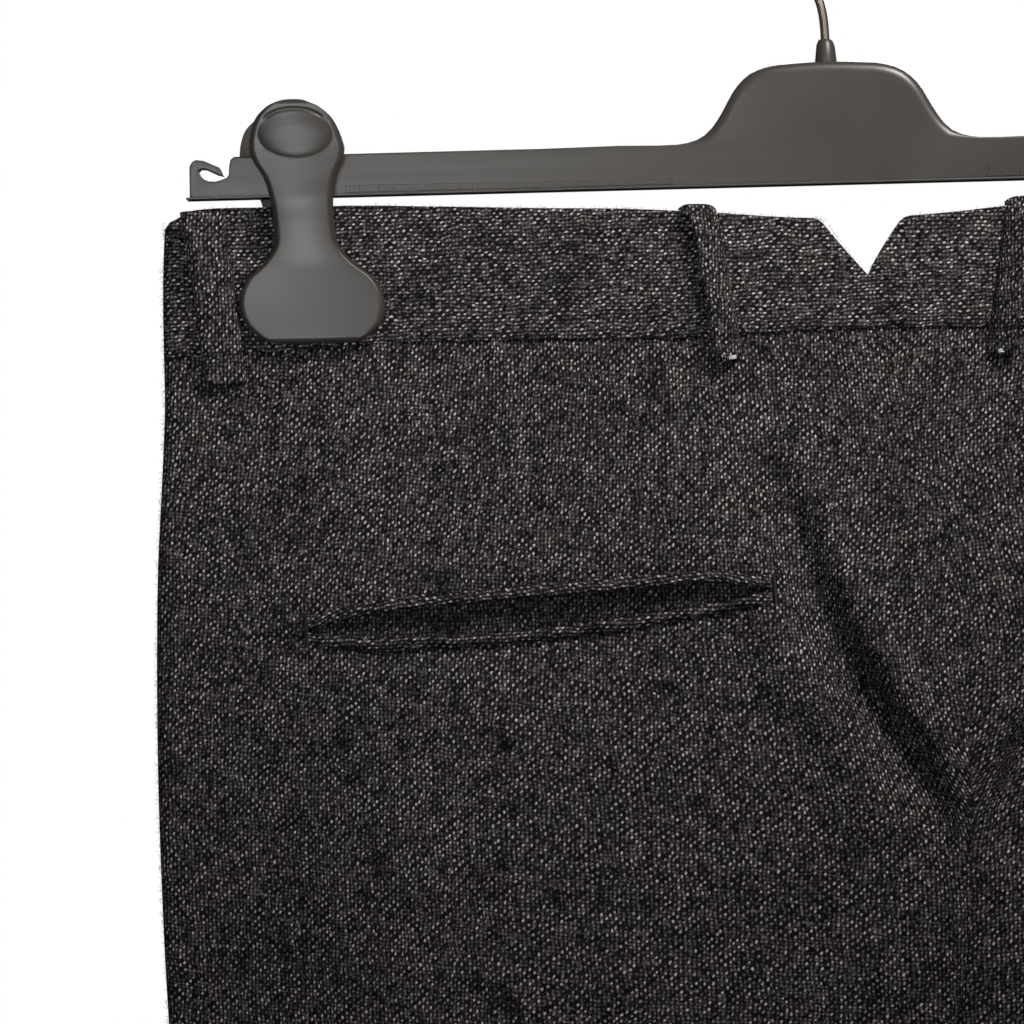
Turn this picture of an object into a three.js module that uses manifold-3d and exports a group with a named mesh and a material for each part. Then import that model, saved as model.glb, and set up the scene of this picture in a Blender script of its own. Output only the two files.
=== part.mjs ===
// Tweed wool trousers hanging by their waistband from a plastic hanger with two spring clips.
// Millimetres, +Z up. The back of the trousers faces -Y, and the wearer's left half lies at -X.
// The origin is the inside top of the hanger's hook, and X = 0 is the middle of the hanger.
import * as THREE from "three";
import { mergeVertices } from "three/addons/utils/BufferGeometryUtils.js";
import Module from "manifold-3d";

const wasm = await Module();
wasm.setup();

// Cloth
const SEAM = 0.3; // gap between two pieces at a seam, and under a piece that lies on another
const CLOTH = 1.6; // wall of a panel
const BAND = 2.2; // wall of the waistband, two layers of cloth
const PROUD = 0.4; // the waistband stands this far out of the panels
const BACK = -1;
const FRONT = 1;
const LEFT = -1;
const RIGHT = 1;

// Hanger
const BAR = { middle: 1.1, reach: 180.4, top: -90.4, bottom: -102.1, web: 3.7, flange: 6.4, flangeHigh: 1.9, rim: 4.2 };
const BAR_TOP_FROM = 13.6; // the straight top starts this far from the end
const RIM_HIGH = 2; // height of the rim along the top
const COLLAR = { half: 3.1, lip: 2, high: 1.6, top: -61.4, long: 12 };
const HOOK = { wire: 1.2, bend: 21.2, foot: -72, bore: 1.55, rise: -47 };
const CLIP = { x: 146, head: 148.8, top: -75.3, lean: 0.069, thick: 3.4, slip: 2.8, drop: 2.4, long: 68 };
const SPRING = { x: 147.4, width: 8, outer: 5.3, inner: 4.7, spread: 1.5, foot: -99.6 };

// Levels
const SEAT_SEAM_START = -270; // the seat seam starts to sink into the fork here
const CROTCH = -385;
const HEM = -1139;
const SEAM_LEVEL = -144; // the waistband seam, nearly level
const EASED = 90; // below the waistband seam, its dip is gone after this height
const FOLD = { radius: 4, half: 2 }; // back turns into front in a tight fold, this hollow inside
const BELLY = 75; // from a fold to where the hollow is at its full depth
const PINCH_ENDS = -250; // the clips hold the waist flat, and their pull is gone here

// The trousers seen from behind, level by level: outer edges, seat seam, fly seam, half the gap between
// the legs, and half the hollow's depth. The cloth hangs nearly flat.
const LEVELS = [
  { z: -100, left: -184.6, right: 209.4, seat: 7.2, fly: 12, legGap: 0, hollow: 9 },
  { z: -125, left: -186.1, right: 210.6, seat: 9.3, fly: 12.2, legGap: 0, hollow: 9 },
  { z: -145, left: -186.2, right: 211.2, seat: 15.8, fly: 12.4, legGap: 0, hollow: 9 },
  { z: -160, left: -186.4, right: 213, seat: 20.2, fly: 12.6, legGap: 0, hollow: 9.3 },
  { z: -175, left: -187.4, right: 217, seat: 24.4, fly: 12.8, legGap: 0, hollow: 9.8 },
  { z: -210, left: -189.6, right: 223, seat: 31, fly: 13.2, legGap: 0, hollow: 11 },
  { z: -260, left: -190.8, right: 229, seat: 35, fly: 14, legGap: 0, hollow: 12.6 },
  { z: -310, left: -190.5, right: 231, seat: 34, fly: 15, legGap: 0, hollow: 14 },
  { z: -350, left: -189.2, right: 230, seat: 28, fly: 16.4, legGap: 0, hollow: 14.6 },
  { z: -385, left: -188.4, right: 228, seat: 18, fly: 18, legGap: 0, hollow: 15 },
  { z: -430, left: -187.6, right: 226, seat: 18, fly: 18, legGap: 6, hollow: 15 },
  { z: -560, left: -185, right: 223, seat: 18, fly: 18, legGap: 12, hollow: 14 },
  { z: -700, left: -182, right: 220, seat: 18, fly: 18, legGap: 18, hollow: 13 },
  { z: -900, left: -179, right: 217, seat: 18, fly: 18, legGap: 23, hollow: 12 },
  { z: -1139, left: -177, right: 214, seat: 18, fly: 18, legGap: 28, hollow: 11 },
];

// Top edge and lower seam of the waistband, by the distance from the seat seam.
const BAND_TOP = [
  { off: 0, z: -128.1 },
  { off: 12.3, z: -111.9 },
  { off: 29, z: -111.6 },
  { off: 42, z: -110.4 },
  { off: 62, z: -108.3 },
  { off: 85, z: -107.1 },
  { off: 116, z: -106.1 },
  { off: 188, z: -105.1 },
  { off: 193, z: -107 },
  { off: 200, z: -109.2 },
];
const BAND_SEAM = [
  { off: 0, z: -142.9 },
  { off: 20, z: -143.2 },
  { off: 54, z: -144.5 },
  { off: 80, z: -144.1 },
  { off: 138, z: -143.2 },
  { off: 192, z: -146 },
  { off: 200, z: -146.4 },
];
const FRONT_DIP = { deep: 29, reach: 135 }; // the front of the waist is cut lower in the middle

// Soft folds that hang in the back: a trough of one width that deepens along its line, with the cloth
// standing up on its outer side. Offsets are from the seat seam.
const SEAT_FOLD = {
  line: [
    { off: 40, z: -180 },
    { off: 35, z: -199 },
    { off: 32, z: -212 },
    { off: 27.5, z: -226 },
    { off: 22.7, z: -240 },
    { off: 16.7, z: -251 },
    { off: 8, z: -261 },
    { off: 1, z: -268 },
  ],
  deep: 3.2,
  wide: 5.5,
};
const CREASE = { deep: 3, wide: 14, start: -410, full: -520 };

// Back welt pockets, by the distance from the seat seam at the pocket's height.
const POCKET = {
  welt: 2.2,
  facing: 1,
  clear: 0.35,
  seat: 32.2, // the seat seam's place at the pocket's height
  towardsSeat: { [LEFT]: 0, [RIGHT]: 4 },
  rows: [
    { off: 50.6, top: -211.4, upperLip: -215, lowerLip: -215.6, bottom: -218.8 },
    { off: 66, top: -209.7, upperLip: -213.2, lowerLip: -218.6, bottom: -222 },
    { off: 84, top: -210.2, upperLip: -214.1, lowerLip: -221.1, bottom: -224.6 },
    { off: 103, top: -211.2, upperLip: -215.2, lowerLip: -223.4, bottom: -227 },
    { off: 122, top: -212.4, upperLip: -216.2, lowerLip: -225.2, bottom: -228.6 },
    { off: 141, top: -213.9, upperLip: -217.4, lowerLip: -226.2, bottom: -229.6 },
    { off: 164, top: -216, upperLip: -219.6, lowerLip: -226, bottom: -229.8 },
    { off: 180.4, top: -219.4, upperLip: -223.4, lowerLip: -224.2, bottom: -227.6 },
  ],
};

// Belt loops: a strap over the waistband, with the offsets of its upper and lower end from the seam
// in the middle of that side, its width and its two ends.
const LOOPS = [
  { name: "belt_loop_back", face: BACK, upper: 45.8, lower: 38.6, half: 3.6, top: -107.6, end: -151.8 },
  { name: "belt_loop_side", face: BACK, upper: 182.6, lower: 181, half: 5, top: -105.6, end: -154.6 },
  { name: "belt_loop_front", face: FRONT, upper: 88, lower: 88, half: 4.6, top: -113, end: -160 },
];
const LOOP = { thick: 1.8, clear: 0.5, spring: 0.9, middle: 9.3 };

const FLY = { wide: 36, end: -318, thick: 1.3, turn: -285, start: -172.5 };
const ZIP = { half: 11, thick: 1, inside: 0.8, rows: [-184, -205, -235, -270, -305] };
const BUTTON = { radius: 8.5, thick: 3, x: 8, z: -155, hole: 1, holeSpread: 2.2 };

const TWEED = new THREE.MeshStandardMaterial({ color: 0x2d2b2b, roughness: 0.95, metalness: 0 });
const LINING = new THREE.MeshStandardMaterial({ color: 0x211f20, roughness: 0.9, metalness: 0 });
const PLASTIC = new THREE.MeshStandardMaterial({ color: 0x605c5b, roughness: 0.45, metalness: 0 });
const STEEL = new THREE.MeshStandardMaterial({ color: 0x8a8378, roughness: 0.35, metalness: 1 });
const HORN = new THREE.MeshStandardMaterial({ color: 0x2a2523, roughness: 0.4, metalness: 0 });

const { abs, cos, max, min, sin, sqrt, PI } = Math;
const mix = (a, b, t) => a + (b - a) * t;
const ease = (from, to, value) => {
  const t = min(max((value - from) / (to - from), 0), 1);
  return t * t * (3 - 2 * t);
};

// One column of a table at a place between its rows, as a smooth curve through them.
function read(rows, key, column, place) {
  const down = rows[0][key] > rows[rows.length - 1][key];
  const at = (i) => rows[min(max(i, 0), rows.length - 1)];
  let i = 0;
  while (i < rows.length - 2 && (down ? place < rows[i + 1][key] : place > rows[i + 1][key])) i++;
  const a = rows[i], b = rows[i + 1];
  const t = min(max((place - a[key]) / (b[key] - a[key]), 0), 1);
  const slope = (p, q) => (q === p ? 0 : (q[column] - p[column]) / (q[key] - p[key]));
  const before = i > 0 ? slope(at(i - 1), b) : slope(a, b);
  const after = i < rows.length - 2 ? slope(a, at(i + 2)) : slope(a, b);
  const step = b[key] - a[key];
  const t2 = t * t, t3 = t2 * t;
  return a[column] * (2 * t3 - 3 * t2 + 1) + b[column] * (3 * t2 - 2 * t3)
    + before * step * (t3 - 2 * t2 + t) + after * step * (t3 - t2);
}
const level = (z, column) => read(LEVELS, "z", column, z);
const straight = (rows, key, column, place) => {
  let i = 0;
  while (i < rows.length - 2 && place > rows[i + 1][key]) i++;
  const a = rows[i], b = rows[i + 1];
  return mix(a[column], b[column], min(max((place - a[key]) / (b[key] - a[key]), 0), 1));
};

// Where the seam in the middle, the outer edge and the inner edge of a half run at a level.
const middle = (face, z) => level(z, face === BACK ? "seat" : "fly");
const outerEdge = (side, z) => level(z, side === LEFT ? "left" : "right");
const innerEdge = (side, face, z) => middle(face, z) + side * max(SEAM / 2, level(z, "legGap"));

// Lower seam and top edge of the waistband, which the front has lower in the middle.
const dip = (face, off) => (face === FRONT ? FRONT_DIP.deep * (1 - ease(0, FRONT_DIP.reach, off)) : 0);
const bandSeam = (face, off) => straight(BAND_SEAM, "off", "z", off) - dip(face, off);
const bandTop = (face, off) => {
  const z = straight(BAND_TOP, "off", "z", face === FRONT ? max(off, BAND_TOP[1].off) : off);
  return z - dip(face, off);
};

// How far two legs are parted at a level: 0 down the seat seam, 1 from the fork on.
function parted(face, z) {
  const start = face === BACK ? SEAT_SEAM_START : SEAT_SEAM_START - 20;
  const t = min(max((start - z) / (start - CROTCH), 0), 1);
  return 1 - sqrt(1 - t * t);
}
// Half the hollow between back and front: pinched flat under the clips, free between them and below,
// where it grows softly from the folds at the edges.
function hollow(side, face, x, z) {
  const fromClip = min(abs(x + CLIP.x), abs(x - CLIP.x));
  const inside = abs(x) < CLIP.x;
  const pinched = 0.15 + (inside ? 8.8 * ease(24, 90, fromClip) : 1.6 * ease(22, 40, fromClip));
  const fromOuter = abs(x - outerEdge(side, z));
  const fromInner = max(side * (x - innerEdge(side, face, z)), 0);
  const grown = ease(0, BELLY, fromOuter) * mix(1, ease(0, BELLY, fromInner), parted(face, z));
  const free = mix(FOLD.half, level(z, "hollow"), grown);
  return mix(pinched, free, ease(-SEAM_LEVEL, -PINCH_ENDS, -z));
}

// The pull of the folds on the cloth, outwards from the section: troughs are negative.
function folds(side, face, x, z) {
  const off = abs(x - middle(face, z));
  const across = abs(x - mix(outerEdge(side, z), innerEdge(side, face, z), 0.5));
  let out = CREASE.deep * Math.exp(-across / CREASE.wide) * ease(-CREASE.start, -CREASE.full, -z);
  const first = SEAT_FOLD.line[0].z, last = SEAT_FOLD.line[SEAT_FOLD.line.length - 1].z;
  if (face === BACK && z < first + 10 && z > last - 30) {
    const along = min(max((first - z) / (first - last), 0), 1);
    const centre = straight(SEAT_FOLD.line.map((p) => ({ down: -p.z, off: p.off })), "down", "off", -z);
    const d = (off - centre) * 0.86;
    const fade = ease(0, 0.55, along) * ease(last - 30, last, z);
    out += SEAT_FOLD.deep * fade * (0.7 * Math.exp(-(((d - 11) / 9) ** 2)) - Math.exp(-((d / SEAT_FOLD.wide) ** 2)));
  }
  return out;
}

// How far the outside of the cloth lies from the middle plane of the trousers, at any place.
function reach(side, face, x, z, wall = CLOTH) {
  const fromOuter = abs(x - outerEdge(side, z));
  const fromInner = max(side * (x - innerEdge(side, face, z)), 0);
  const curve = (e) => sqrt(max(1 - (1 - min(e / FOLD.radius, 1)) ** 2, 0));
  const full = (hollow(side, face, x, z) + wall) * curve(fromOuter);
  const lump = folds(side, face, x, z) * ease(0, BELLY / 2, fromOuter);
  return SEAM / 2 + (full + lump) * mix(1, curve(fromInner), parted(face, z));
}
// Outside of the dressed waist: the waistband stands a little out of the panels.
function outside(side, face, x, z) {
  const off = abs(x - middle(face, z));
  const onBand = ease(-1, 1, z - bandSeam(face, off));
  return reach(side, face, x, z, mix(CLOTH, BAND, onBand)) + PROUD * onBand;
}

// Columns across a half, as the part of the way from the outer edge to the inner one: close on the
// folded edges, even between.
function columns(side, face, z, between) {
  const outer = outerEdge(side, z), inner = innerEdge(side, face, z);
  const wide = abs(inner - outer);
  const round = [0, 1, 2, 3].map((i) => ((1 - cos((i * PI) / 6)) * FOLD.radius) / wide);
  const from = round[3], to = 1 - from;
  return [...round, ...between.map((t) => mix(from, to, t)), ...round.reverse().map((t) => 1 - t)];
}

// A closed body between two grids of points that have the same rows and columns.
function body(outer, inner) {
  const rows = outer.length, cols = outer[0].length, points = [], index = [];
  for (const grid of [outer, inner]) for (const row of grid) for (const p of row) points.push(p.x, p.y, p.z);
  const id = (layer, i, j) => layer * rows * cols + i * cols + j;
  const quad = (a, b, c, d) => index.push(a, b, c, a, c, d);
  for (let i = 0; i < rows - 1; i++)
    for (let j = 0; j < cols - 1; j++) {
      quad(id(0, i, j), id(0, i + 1, j), id(0, i + 1, j + 1), id(0, i, j + 1));
      quad(id(1, i, j), id(1, i, j + 1), id(1, i + 1, j + 1), id(1, i + 1, j));
    }
  for (let j = 0; j < cols - 1; j++) {
    quad(id(0, 0, j), id(0, 0, j + 1), id(1, 0, j + 1), id(1, 0, j));
    quad(id(0, rows - 1, j), id(1, rows - 1, j), id(1, rows - 1, j + 1), id(0, rows - 1, j + 1));
  }
  for (let i = 0; i < rows - 1; i++) {
    quad(id(0, i, 0), id(1, i, 0), id(1, i + 1, 0), id(0, i + 1, 0));
    quad(id(0, i, cols - 1), id(0, i + 1, cols - 1), id(1, i + 1, cols - 1), id(1, i, cols - 1));
  }
  return facingOut(points, index);
}
function facingOut(points, index) {
  let volume = 0;
  const p = (k) => new THREE.Vector3(points[3 * k], points[3 * k + 1], points[3 * k + 2]);
  for (let i = 0; i < index.length; i += 3)
    volume += p(index[i]).dot(p(index[i + 1]).cross(p(index[i + 2])));
  if (volume < 0) for (let i = 0; i < index.length; i += 3) [index[i + 1], index[i + 2]] = [index[i + 2], index[i + 1]];
  const geometry = new THREE.BufferGeometry();
  geometry.setAttribute("position", new THREE.Float32BufferAttribute(points, 3));
  geometry.setIndex(index);
  return geometry;
}

// The inner side of a wall: each point moved in square to the surface. On the seams it moves level with
// the seam's own plane, so that two walls never cross there.
function wallInside(grid, side, face, wall) {
  const last = grid.length - 1, end = grid[0].length - 1;
  return grid.map((row, i) =>
    row.map((p, j) => {
      const along = grid[min(i + 1, last)][j].clone().sub(grid[max(i - 1, 0)][j]);
      const across = row[min(j + 1, end)].clone().sub(row[max(j - 1, 0)]);
      const normal = along.cross(across).normalize();
      if (normal.y * face < 0 || (abs(normal.y) < 0.05 && normal.x * side < 0)) normal.negate();
      if (j === 0) normal.set(side, 0, 0);
      if (j === end && abs(p.y) < SEAM) normal.set(-side, 0, 0);
      else if (j === end) normal.setX(side < 0 ? max(normal.x, 0) : min(normal.x, 0)).normalize();
      const q = p.clone().addScaledVector(normal, -wall);
      q.y = face * max(face * q.y, SEAM / 2);
      return q;
    }),
  );
}

// A panel from the waistband seam to the hem. Its rows are level but for the waist's dip.
function panel(side, face, rows, between) {
  const grid = rows.map((z0) =>
    columns(side, face, z0, between).map((t) => {
      const off = abs(mix(outerEdge(side, z0), innerEdge(side, face, z0), t) - middle(face, z0));
      const drop = bandSeam(face, off) - SEAM / 2 - SEAM_LEVEL;
      const z = z0 + drop * (1 - ease(0, EASED, SEAM_LEVEL - z0));
      const x = mix(outerEdge(side, z), innerEdge(side, face, z), t);
      return new THREE.Vector3(x, face * reach(side, face, x, z), z);
    }),
  );
  return body(grid, wallInside(grid, side, face, CLOTH));
}

// Half of the waistband on one side, its centre end cut to the notch in the back.
function band(side, face, between) {
  const steps = [0, 0.33, 0.66, 1];
  const grid = steps.map((v) =>
    columns(side, face, SEAM_LEVEL, between).map((t) => {
      const outer = outerEdge(side, SEAM_LEVEL), inner = innerEdge(side, face, SEAM_LEVEL);
      const off = abs(mix(outer, inner, t) - middle(face, SEAM_LEVEL));
      const z = mix(bandSeam(face, off) + SEAM / 2, bandTop(face, off), v);
      const x = mix(outerEdge(side, z), innerEdge(side, face, z), t);
      return new THREE.Vector3(x, face * (reach(side, face, x, z, BAND) + PROUD), z);
    }),
  );
  return body(grid, wallInside(grid, side, face, BAND));
}

// A piece that lies on the cloth: a grid of places on its outside, lifted by a gap and a thickness.
function onCloth(side, face, places, thick, lift = () => 0) {
  const raise = (amount) =>
    places.map((row) =>
      row.map(({ x, z, k = 1 }) => {
        const y = outside(side, face, x, z) + SEAM + lift(x, z) + amount * k;
        return new THREE.Vector3(x, face * y, z);
      }),
    );
  return body(raise(thick), raise(0));
}

// Pocket pieces between two columns of the pocket table.
function pocketPiece(side, from, to, thick) {
  const places = [0, 0.25, 0.75, 1].map((v) =>
    POCKET.rows.map((row) => {
      const k = v === 0 || v === 1 ? 0.55 : 1;
      const x = POCKET.seat + side * (row.off - POCKET.towardsSeat[side]);
      return { x, z: mix(row[from] - SEAM / 2, row[to] + SEAM / 2, v), k };
    }),
  );
  return onCloth(side, BACK, places, thick, () => POCKET.clear);
}

function beltLoop(side, loop) {
  const steps = 8;
  const places = [...Array(steps + 1).keys()].map((i) => {
    const v = i / steps;
    const z = mix(loop.top, loop.end, v);
    const x = LOOP.middle + side * mix(loop.upper, loop.lower, v);
    return [-1, 0, 1].map((s) => ({ x: x + s * loop.half, z, v }));
  });
  const long = loop.top - loop.end;
  const lift = (x, z) => LOOP.clear + LOOP.spring * sin(min(max((loop.top - z) / long, 0), 1) * PI);
  return onCloth(side, loop.face, places, LOOP.thick, lift);
}

// The fly's outer lap, on the wearer's left front, with its rounded lower end.
function flyLap() {
  const places = [FLY.start, -185, -200, -220, -240, -260, FLY.turn, -298, -309, FLY.end].map((z) => {
    const t = ease(-FLY.turn, -FLY.end, -z);
    const wide = mix(FLY.wide, 3, t * t);
    return [0.3, 0.6, 0.85, 1].map((s) => ({ x: middle(FRONT, z) - s * wide + 0.3 * wide, z }));
  });
  places.forEach((row) => row.forEach((p) => { p.x = min(p.x, middle(FRONT, p.z) - SEAM); }));
  return onCloth(LEFT, FRONT, places, FLY.thick);
}
// The zip: a flat tape inside the front seam.
function zipTape() {
  const side = (x, z) => (x < middle(FRONT, z) ? LEFT : RIGHT);
  const layer = (inward) =>
    ZIP.rows.map((z) =>
      [-1, -0.3, 0.3, 1].map((s) => {
        const x = middle(FRONT, z) + s * ZIP.half;
        return new THREE.Vector3(x, reach(side(x, z), FRONT, x, z) - CLOTH - ZIP.inside - inward, z);
      }),
    );
  return body(layer(0), layer(ZIP.thick));
}

// Closed meshes as solids, to join and cut them.
function solid(geometry) {
  const g = (geometry.index ? geometry : geometry.clone()).clone();
  g.deleteAttribute("normal");
  g.deleteAttribute("uv");
  const m = mergeVertices(g, 1e-4);
  return new wasm.Manifold(new wasm.Mesh({
    numProp: 3,
    vertProperties: new Float32Array(m.attributes.position.array),
    triVerts: new Uint32Array(m.index.array),
  }));
}
function geometryOf(made) {
  const m = made.getMesh();
  const g = new THREE.BufferGeometry();
  g.setAttribute("position", new THREE.BufferAttribute(new Float32Array(m.vertProperties), 3));
  g.setIndex(new THREE.BufferAttribute(new Uint32Array(m.triVerts), 1));
  return g;
}
// An outline in X and Z, made as thick as asked on both sides of y = 0.
function slab(points, half) {
  const shape = new THREE.Shape(points.map(([x, z]) => new THREE.Vector2(x, z)));
  const g = new THREE.ExtrudeGeometry(shape, { depth: 2 * half, bevelEnabled: false });
  return g.rotateX(PI / 2).translate(0, half, 0);
}
const mirrored = (points) => [...points, ...points.filter(([x]) => x !== 0).reverse().map(([x, z]) => [-x, z])];

// The hanger's bar: the notched end, the straight top and the hump, for its left half, from the bar's
// own middle.
function barOutline() {
  const { reach: end, top, bottom } = BAR;
  const notch = [
    [-end + 0.9, bottom],
    [-end + 1, top - 2.9],
    [-end + 1.5, top - 1.4],
    [-end + 2.9, top - 0.5],
    [-end + 5, top - 0.9],
    [-end + 9.5, top - 2.9],
    [-end + 10.5, top - 5.2],
    [-end + 8.7, top - 4.7],
    [-end + 5.6, top - 3.2],
    [-end + 3.6, top - 3.6],
    [-end + 4.2, top - 5.2],
    [-end + 6.4, top - 6.6],
    [-end + 9.8, top - 6.3],
    [-end + 12, top - 5.2],
    [-end + 12.2, top - 2.5],
    [-end + 13.1, top - 0.1],
    [-end + BAR_TOP_FROM, top],
  ];
  return mirrored([...notch, ...humpOutline(0)]);
}
function humpOutline(inset) {
  const hump = [
    [-58.6, -90],
    [-42.4, -90.4],
    [-37.2, -89.2],
    [-32.9, -85.9],
    [-29.3, -80.9],
    [-26.6, -75.9],
    [-24, -72.5],
    [-19.6, -69.6],
    [-13.6, -68.3],
    [-5, -67.7],
    [0, -67.7],
  ];
  return hump.map(([x, z], i) => {
    const a = hump[max(i - 1, 0)], b = hump[min(i + 1, hump.length - 1)];
    const level = i === hump.length - 1;
    const dx = level ? 1 : b[0] - a[0], dz = level ? 0 : b[1] - a[1];
    const long = Math.hypot(dx, dz);
    return [x + (inset * dz) / long, z - (inset * dx) / long];
  });
}
function hangerBar() {
  const { reach: end, top, bottom, web, flange, flangeHigh, rim } = BAR;
  let bar = solid(slab(barOutline(), web));
  const low = [[-end, bottom], [-end, bottom + flangeHigh], [end, bottom + flangeHigh], [end, bottom]];
  bar = bar.add(solid(slab(low, flange)));
  const outer = [[-end + BAR_TOP_FROM, top], ...humpOutline(0)];
  const inner = [[-end + BAR_TOP_FROM, top - RIM_HIGH], ...humpOutline(RIM_HIGH)];
  const left = [...outer, ...inner.reverse()];
  bar = bar.add(solid(slab(left, rim)));
  bar = bar.add(solid(slab(left.map(([x, z]) => [-x, z]).reverse(), rim)));
  const { half, lip, high, long } = COLLAR;
  const neck = new THREE.CylinderGeometry(half - 0.3, half + 0.1, long, 20);
  neck.rotateX(PI / 2).translate(0, 0, COLLAR.top - high - long / 2);
  const cap = new THREE.CylinderGeometry(lip, half - 0.3, high, 20);
  cap.rotateX(PI / 2).translate(0, 0, COLLAR.top - high / 2);
  const bore = new THREE.CylinderGeometry(HOOK.bore, HOOK.bore, 30, 16).rotateX(PI / 2);
  bore.translate(0, 0, HOOK.foot + 15 - SEAM);
  bar = bar.add(solid(neck)).add(solid(cap)).subtract(solid(bore));
  return geometryOf(bar).translate(BAR.middle, 0, 0);
}

// The hook: a straight stem, a bend to the left and a round turn over the top to the right.
function hook() {
  const c = HOOK.wire - HOOK.bend;
  const turn = [...Array(13).keys()].map((i) => {
    const angle = mix(230, -38, i / 12) * (PI / 180);
    return new THREE.Vector3(HOOK.bend * cos(angle), 0, c + HOOK.bend * sin(angle));
  });
  const stem = [
    [BAR.middle, HOOK.foot],
    [BAR.middle, -66],
    [BAR.middle, -59],
    [0.4, -52],
    [-1.7, HOOK.rise],
    [-6.4, -41.6],
  ].map(([x, z]) => new THREE.Vector3(x, 0, z));
  const path = new THREE.CatmullRomCurve3([...stem, ...turn], false, "centripetal");
  const section = new THREE.Shape().absarc(0, 0, HOOK.wire, 0, 2 * PI);
  return new THREE.ExtrudeGeometry(section, { steps: 46, curveSegments: 5, extrudePath: path, bevelEnabled: false });
}

// A clip jaw: half its width, and how far its inner face stands from the middle plane, down its length.
// The jaw in front sits a little lower, with its head slipped outwards.
const JAW = [
  { down: 0.4, half: 3.6, inner: 11 },
  { down: 2.4, half: 7.6, inner: 10.6 },
  { down: 6, half: 11, inner: 9.8 },
  { down: 13, half: 13.2, inner: 8.2 },
  { down: 17, half: 12.4, inner: 7.8 },
  { down: 22, half: 10, inner: 7.4 },
  { down: 28, half: 8.8, inner: 7 },
  { down: 35, half: 8.6, inner: 5.6 },
  { down: 41, half: 9.3, inner: 4.5 },
  { down: 46, half: 13.4, inner: 3.8 },
  { down: 50, half: 18, inner: 3.6 },
  { down: 56, half: 20.3, inner: 3.6 },
  { down: 62, half: 19, inner: 3.6 },
  { down: 66.4, half: 15, inner: 3.6 },
  { down: CLIP.long, half: 11.6, inner: 3.6 },
];
function clipJaw(side, face) {
  const off = face === FRONT ? 1 : 0;
  const at = (row, s, lift) => {
    const slip = off * CLIP.slip * (1 - row.down / CLIP.long);
    const x = side * (CLIP.head + slip - CLIP.lean * row.down) + s * row.half;
    const crown = 1 - 0.35 * abs(s) ** 3;
    return new THREE.Vector3(x, face * (row.inner + lift * crown), CLIP.top - off * CLIP.drop - row.down);
  };
  const across = [-1, -0.8, -0.4, 0, 0.4, 0.8, 1];
  const outer = JAW.map((row) => across.map((s) => at(row, s, CLIP.thick)));
  const inner = JAW.map((row) => across.map((s) => at(row, s, 0)));
  return body(outer, inner);
}
function clipSpring(side) {
  const { width, outer, inner, spread, foot } = SPRING;
  const arch = (r) => [...Array(9).keys()].map((i) => [r * cos((PI * i) / 8), BAR.top + 0.4 + r * sin((PI * i) / 8)]);
  const leg = (r) => [r + spread, foot];
  const [[out, low], [within]] = [leg(outer), leg(inner)];
  const points = [[out, low], ...arch(outer), [-out, low], [-within, low], ...arch(inner).reverse(), [within, low]];
  const shape = new THREE.Shape(points.map(([y, z]) => new THREE.Vector2(y, z)));
  const g = new THREE.ExtrudeGeometry(shape, { depth: width, bevelEnabled: false });
  return g.rotateX(PI / 2).rotateZ(PI / 2).translate(side * SPRING.x - width / 2, 0, 0);
}
function waistButton() {
  const g = new THREE.CylinderGeometry(BUTTON.radius - 0.8, BUTTON.radius, BUTTON.thick, 28);
  let disc = solid(g);
  for (const [i, j] of [[-1, -1], [1, -1], [1, 1], [-1, 1]]) {
    const hole = new THREE.CylinderGeometry(BUTTON.hole, BUTTON.hole, 2 * BUTTON.thick, 10);
    disc = disc.subtract(solid(hole.translate(i * BUTTON.holeSpread, 0, j * BUTTON.holeSpread)));
  }
  const stands = [-1, 1].map((s) => outside(LEFT, FRONT, BUTTON.x + s * BUTTON.radius, BUTTON.z));
  return geometryOf(disc).translate(BUTTON.x, max(...stands) + SEAM + BUTTON.thick / 2, BUTTON.z);
}

// Rows and columns of the walls: close where the seat folds, wide apart down the legs.
const BACK_ROWS = [SEAM_LEVEL, -153, -164, -176, -187, -197, -206, -214, -222, -230, -238, -246, -254,
  -262, -272, -286, -304, -326, -348, -366, -378, CROTCH, -400, -440, -510, -600, -700, -820, -960, -1060, HEM];
const FRONT_ROWS = [SEAM_LEVEL, -160, -180, -205, -235, -270, -305, -335, -358, -375, CROTCH, -400,
  -440, -510, -600, -700, -820, -960, -1060, HEM];
const COLUMNS = {
  [BACK]: [0.05, 0.11, 0.2, 0.29, 0.38, 0.47, 0.56, 0.64, 0.71, 0.77, 0.83, 0.89, 0.945, 0.98],
  [FRONT]: [0.05, 0.15, 0.29, 0.42, 0.56, 0.7, 0.84],
};

const trousers = new THREE.Group();
function add(name, geometry, material) {
  const mesh = new THREE.Mesh(geometry, material);
  mesh.name = name;
  trousers.add(mesh);
}

for (const [side, hand] of [[LEFT, "left"], [RIGHT, "right"]]) {
  add("back_" + hand, panel(side, BACK, BACK_ROWS, COLUMNS[BACK]), TWEED);
  add("front_" + hand, panel(side, FRONT, FRONT_ROWS, COLUMNS[FRONT]), TWEED);
  add("waistband_back_" + hand, band(side, BACK, COLUMNS[BACK]), TWEED);
  add("waistband_front_" + hand, band(side, FRONT, COLUMNS[FRONT]), TWEED);
  for (const loop of LOOPS) add(loop.name + "_" + hand, beltLoop(side, loop), TWEED);
  add("pocket_welt_upper_" + hand, pocketPiece(side, "top", "upperLip", POCKET.welt), TWEED);
  add("pocket_welt_lower_" + hand, pocketPiece(side, "lowerLip", "bottom", POCKET.welt), TWEED);
  add("pocket_facing_" + hand, pocketPiece(side, "upperLip", "lowerLip", POCKET.facing), LINING);
  add("clip_jaw_back_" + hand, clipJaw(side, BACK), PLASTIC);
  add("clip_jaw_front_" + hand, clipJaw(side, FRONT), PLASTIC);
  add("clip_spring_" + hand, clipSpring(side), STEEL);
}
add("fly_lap", flyLap(), TWEED);
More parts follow.
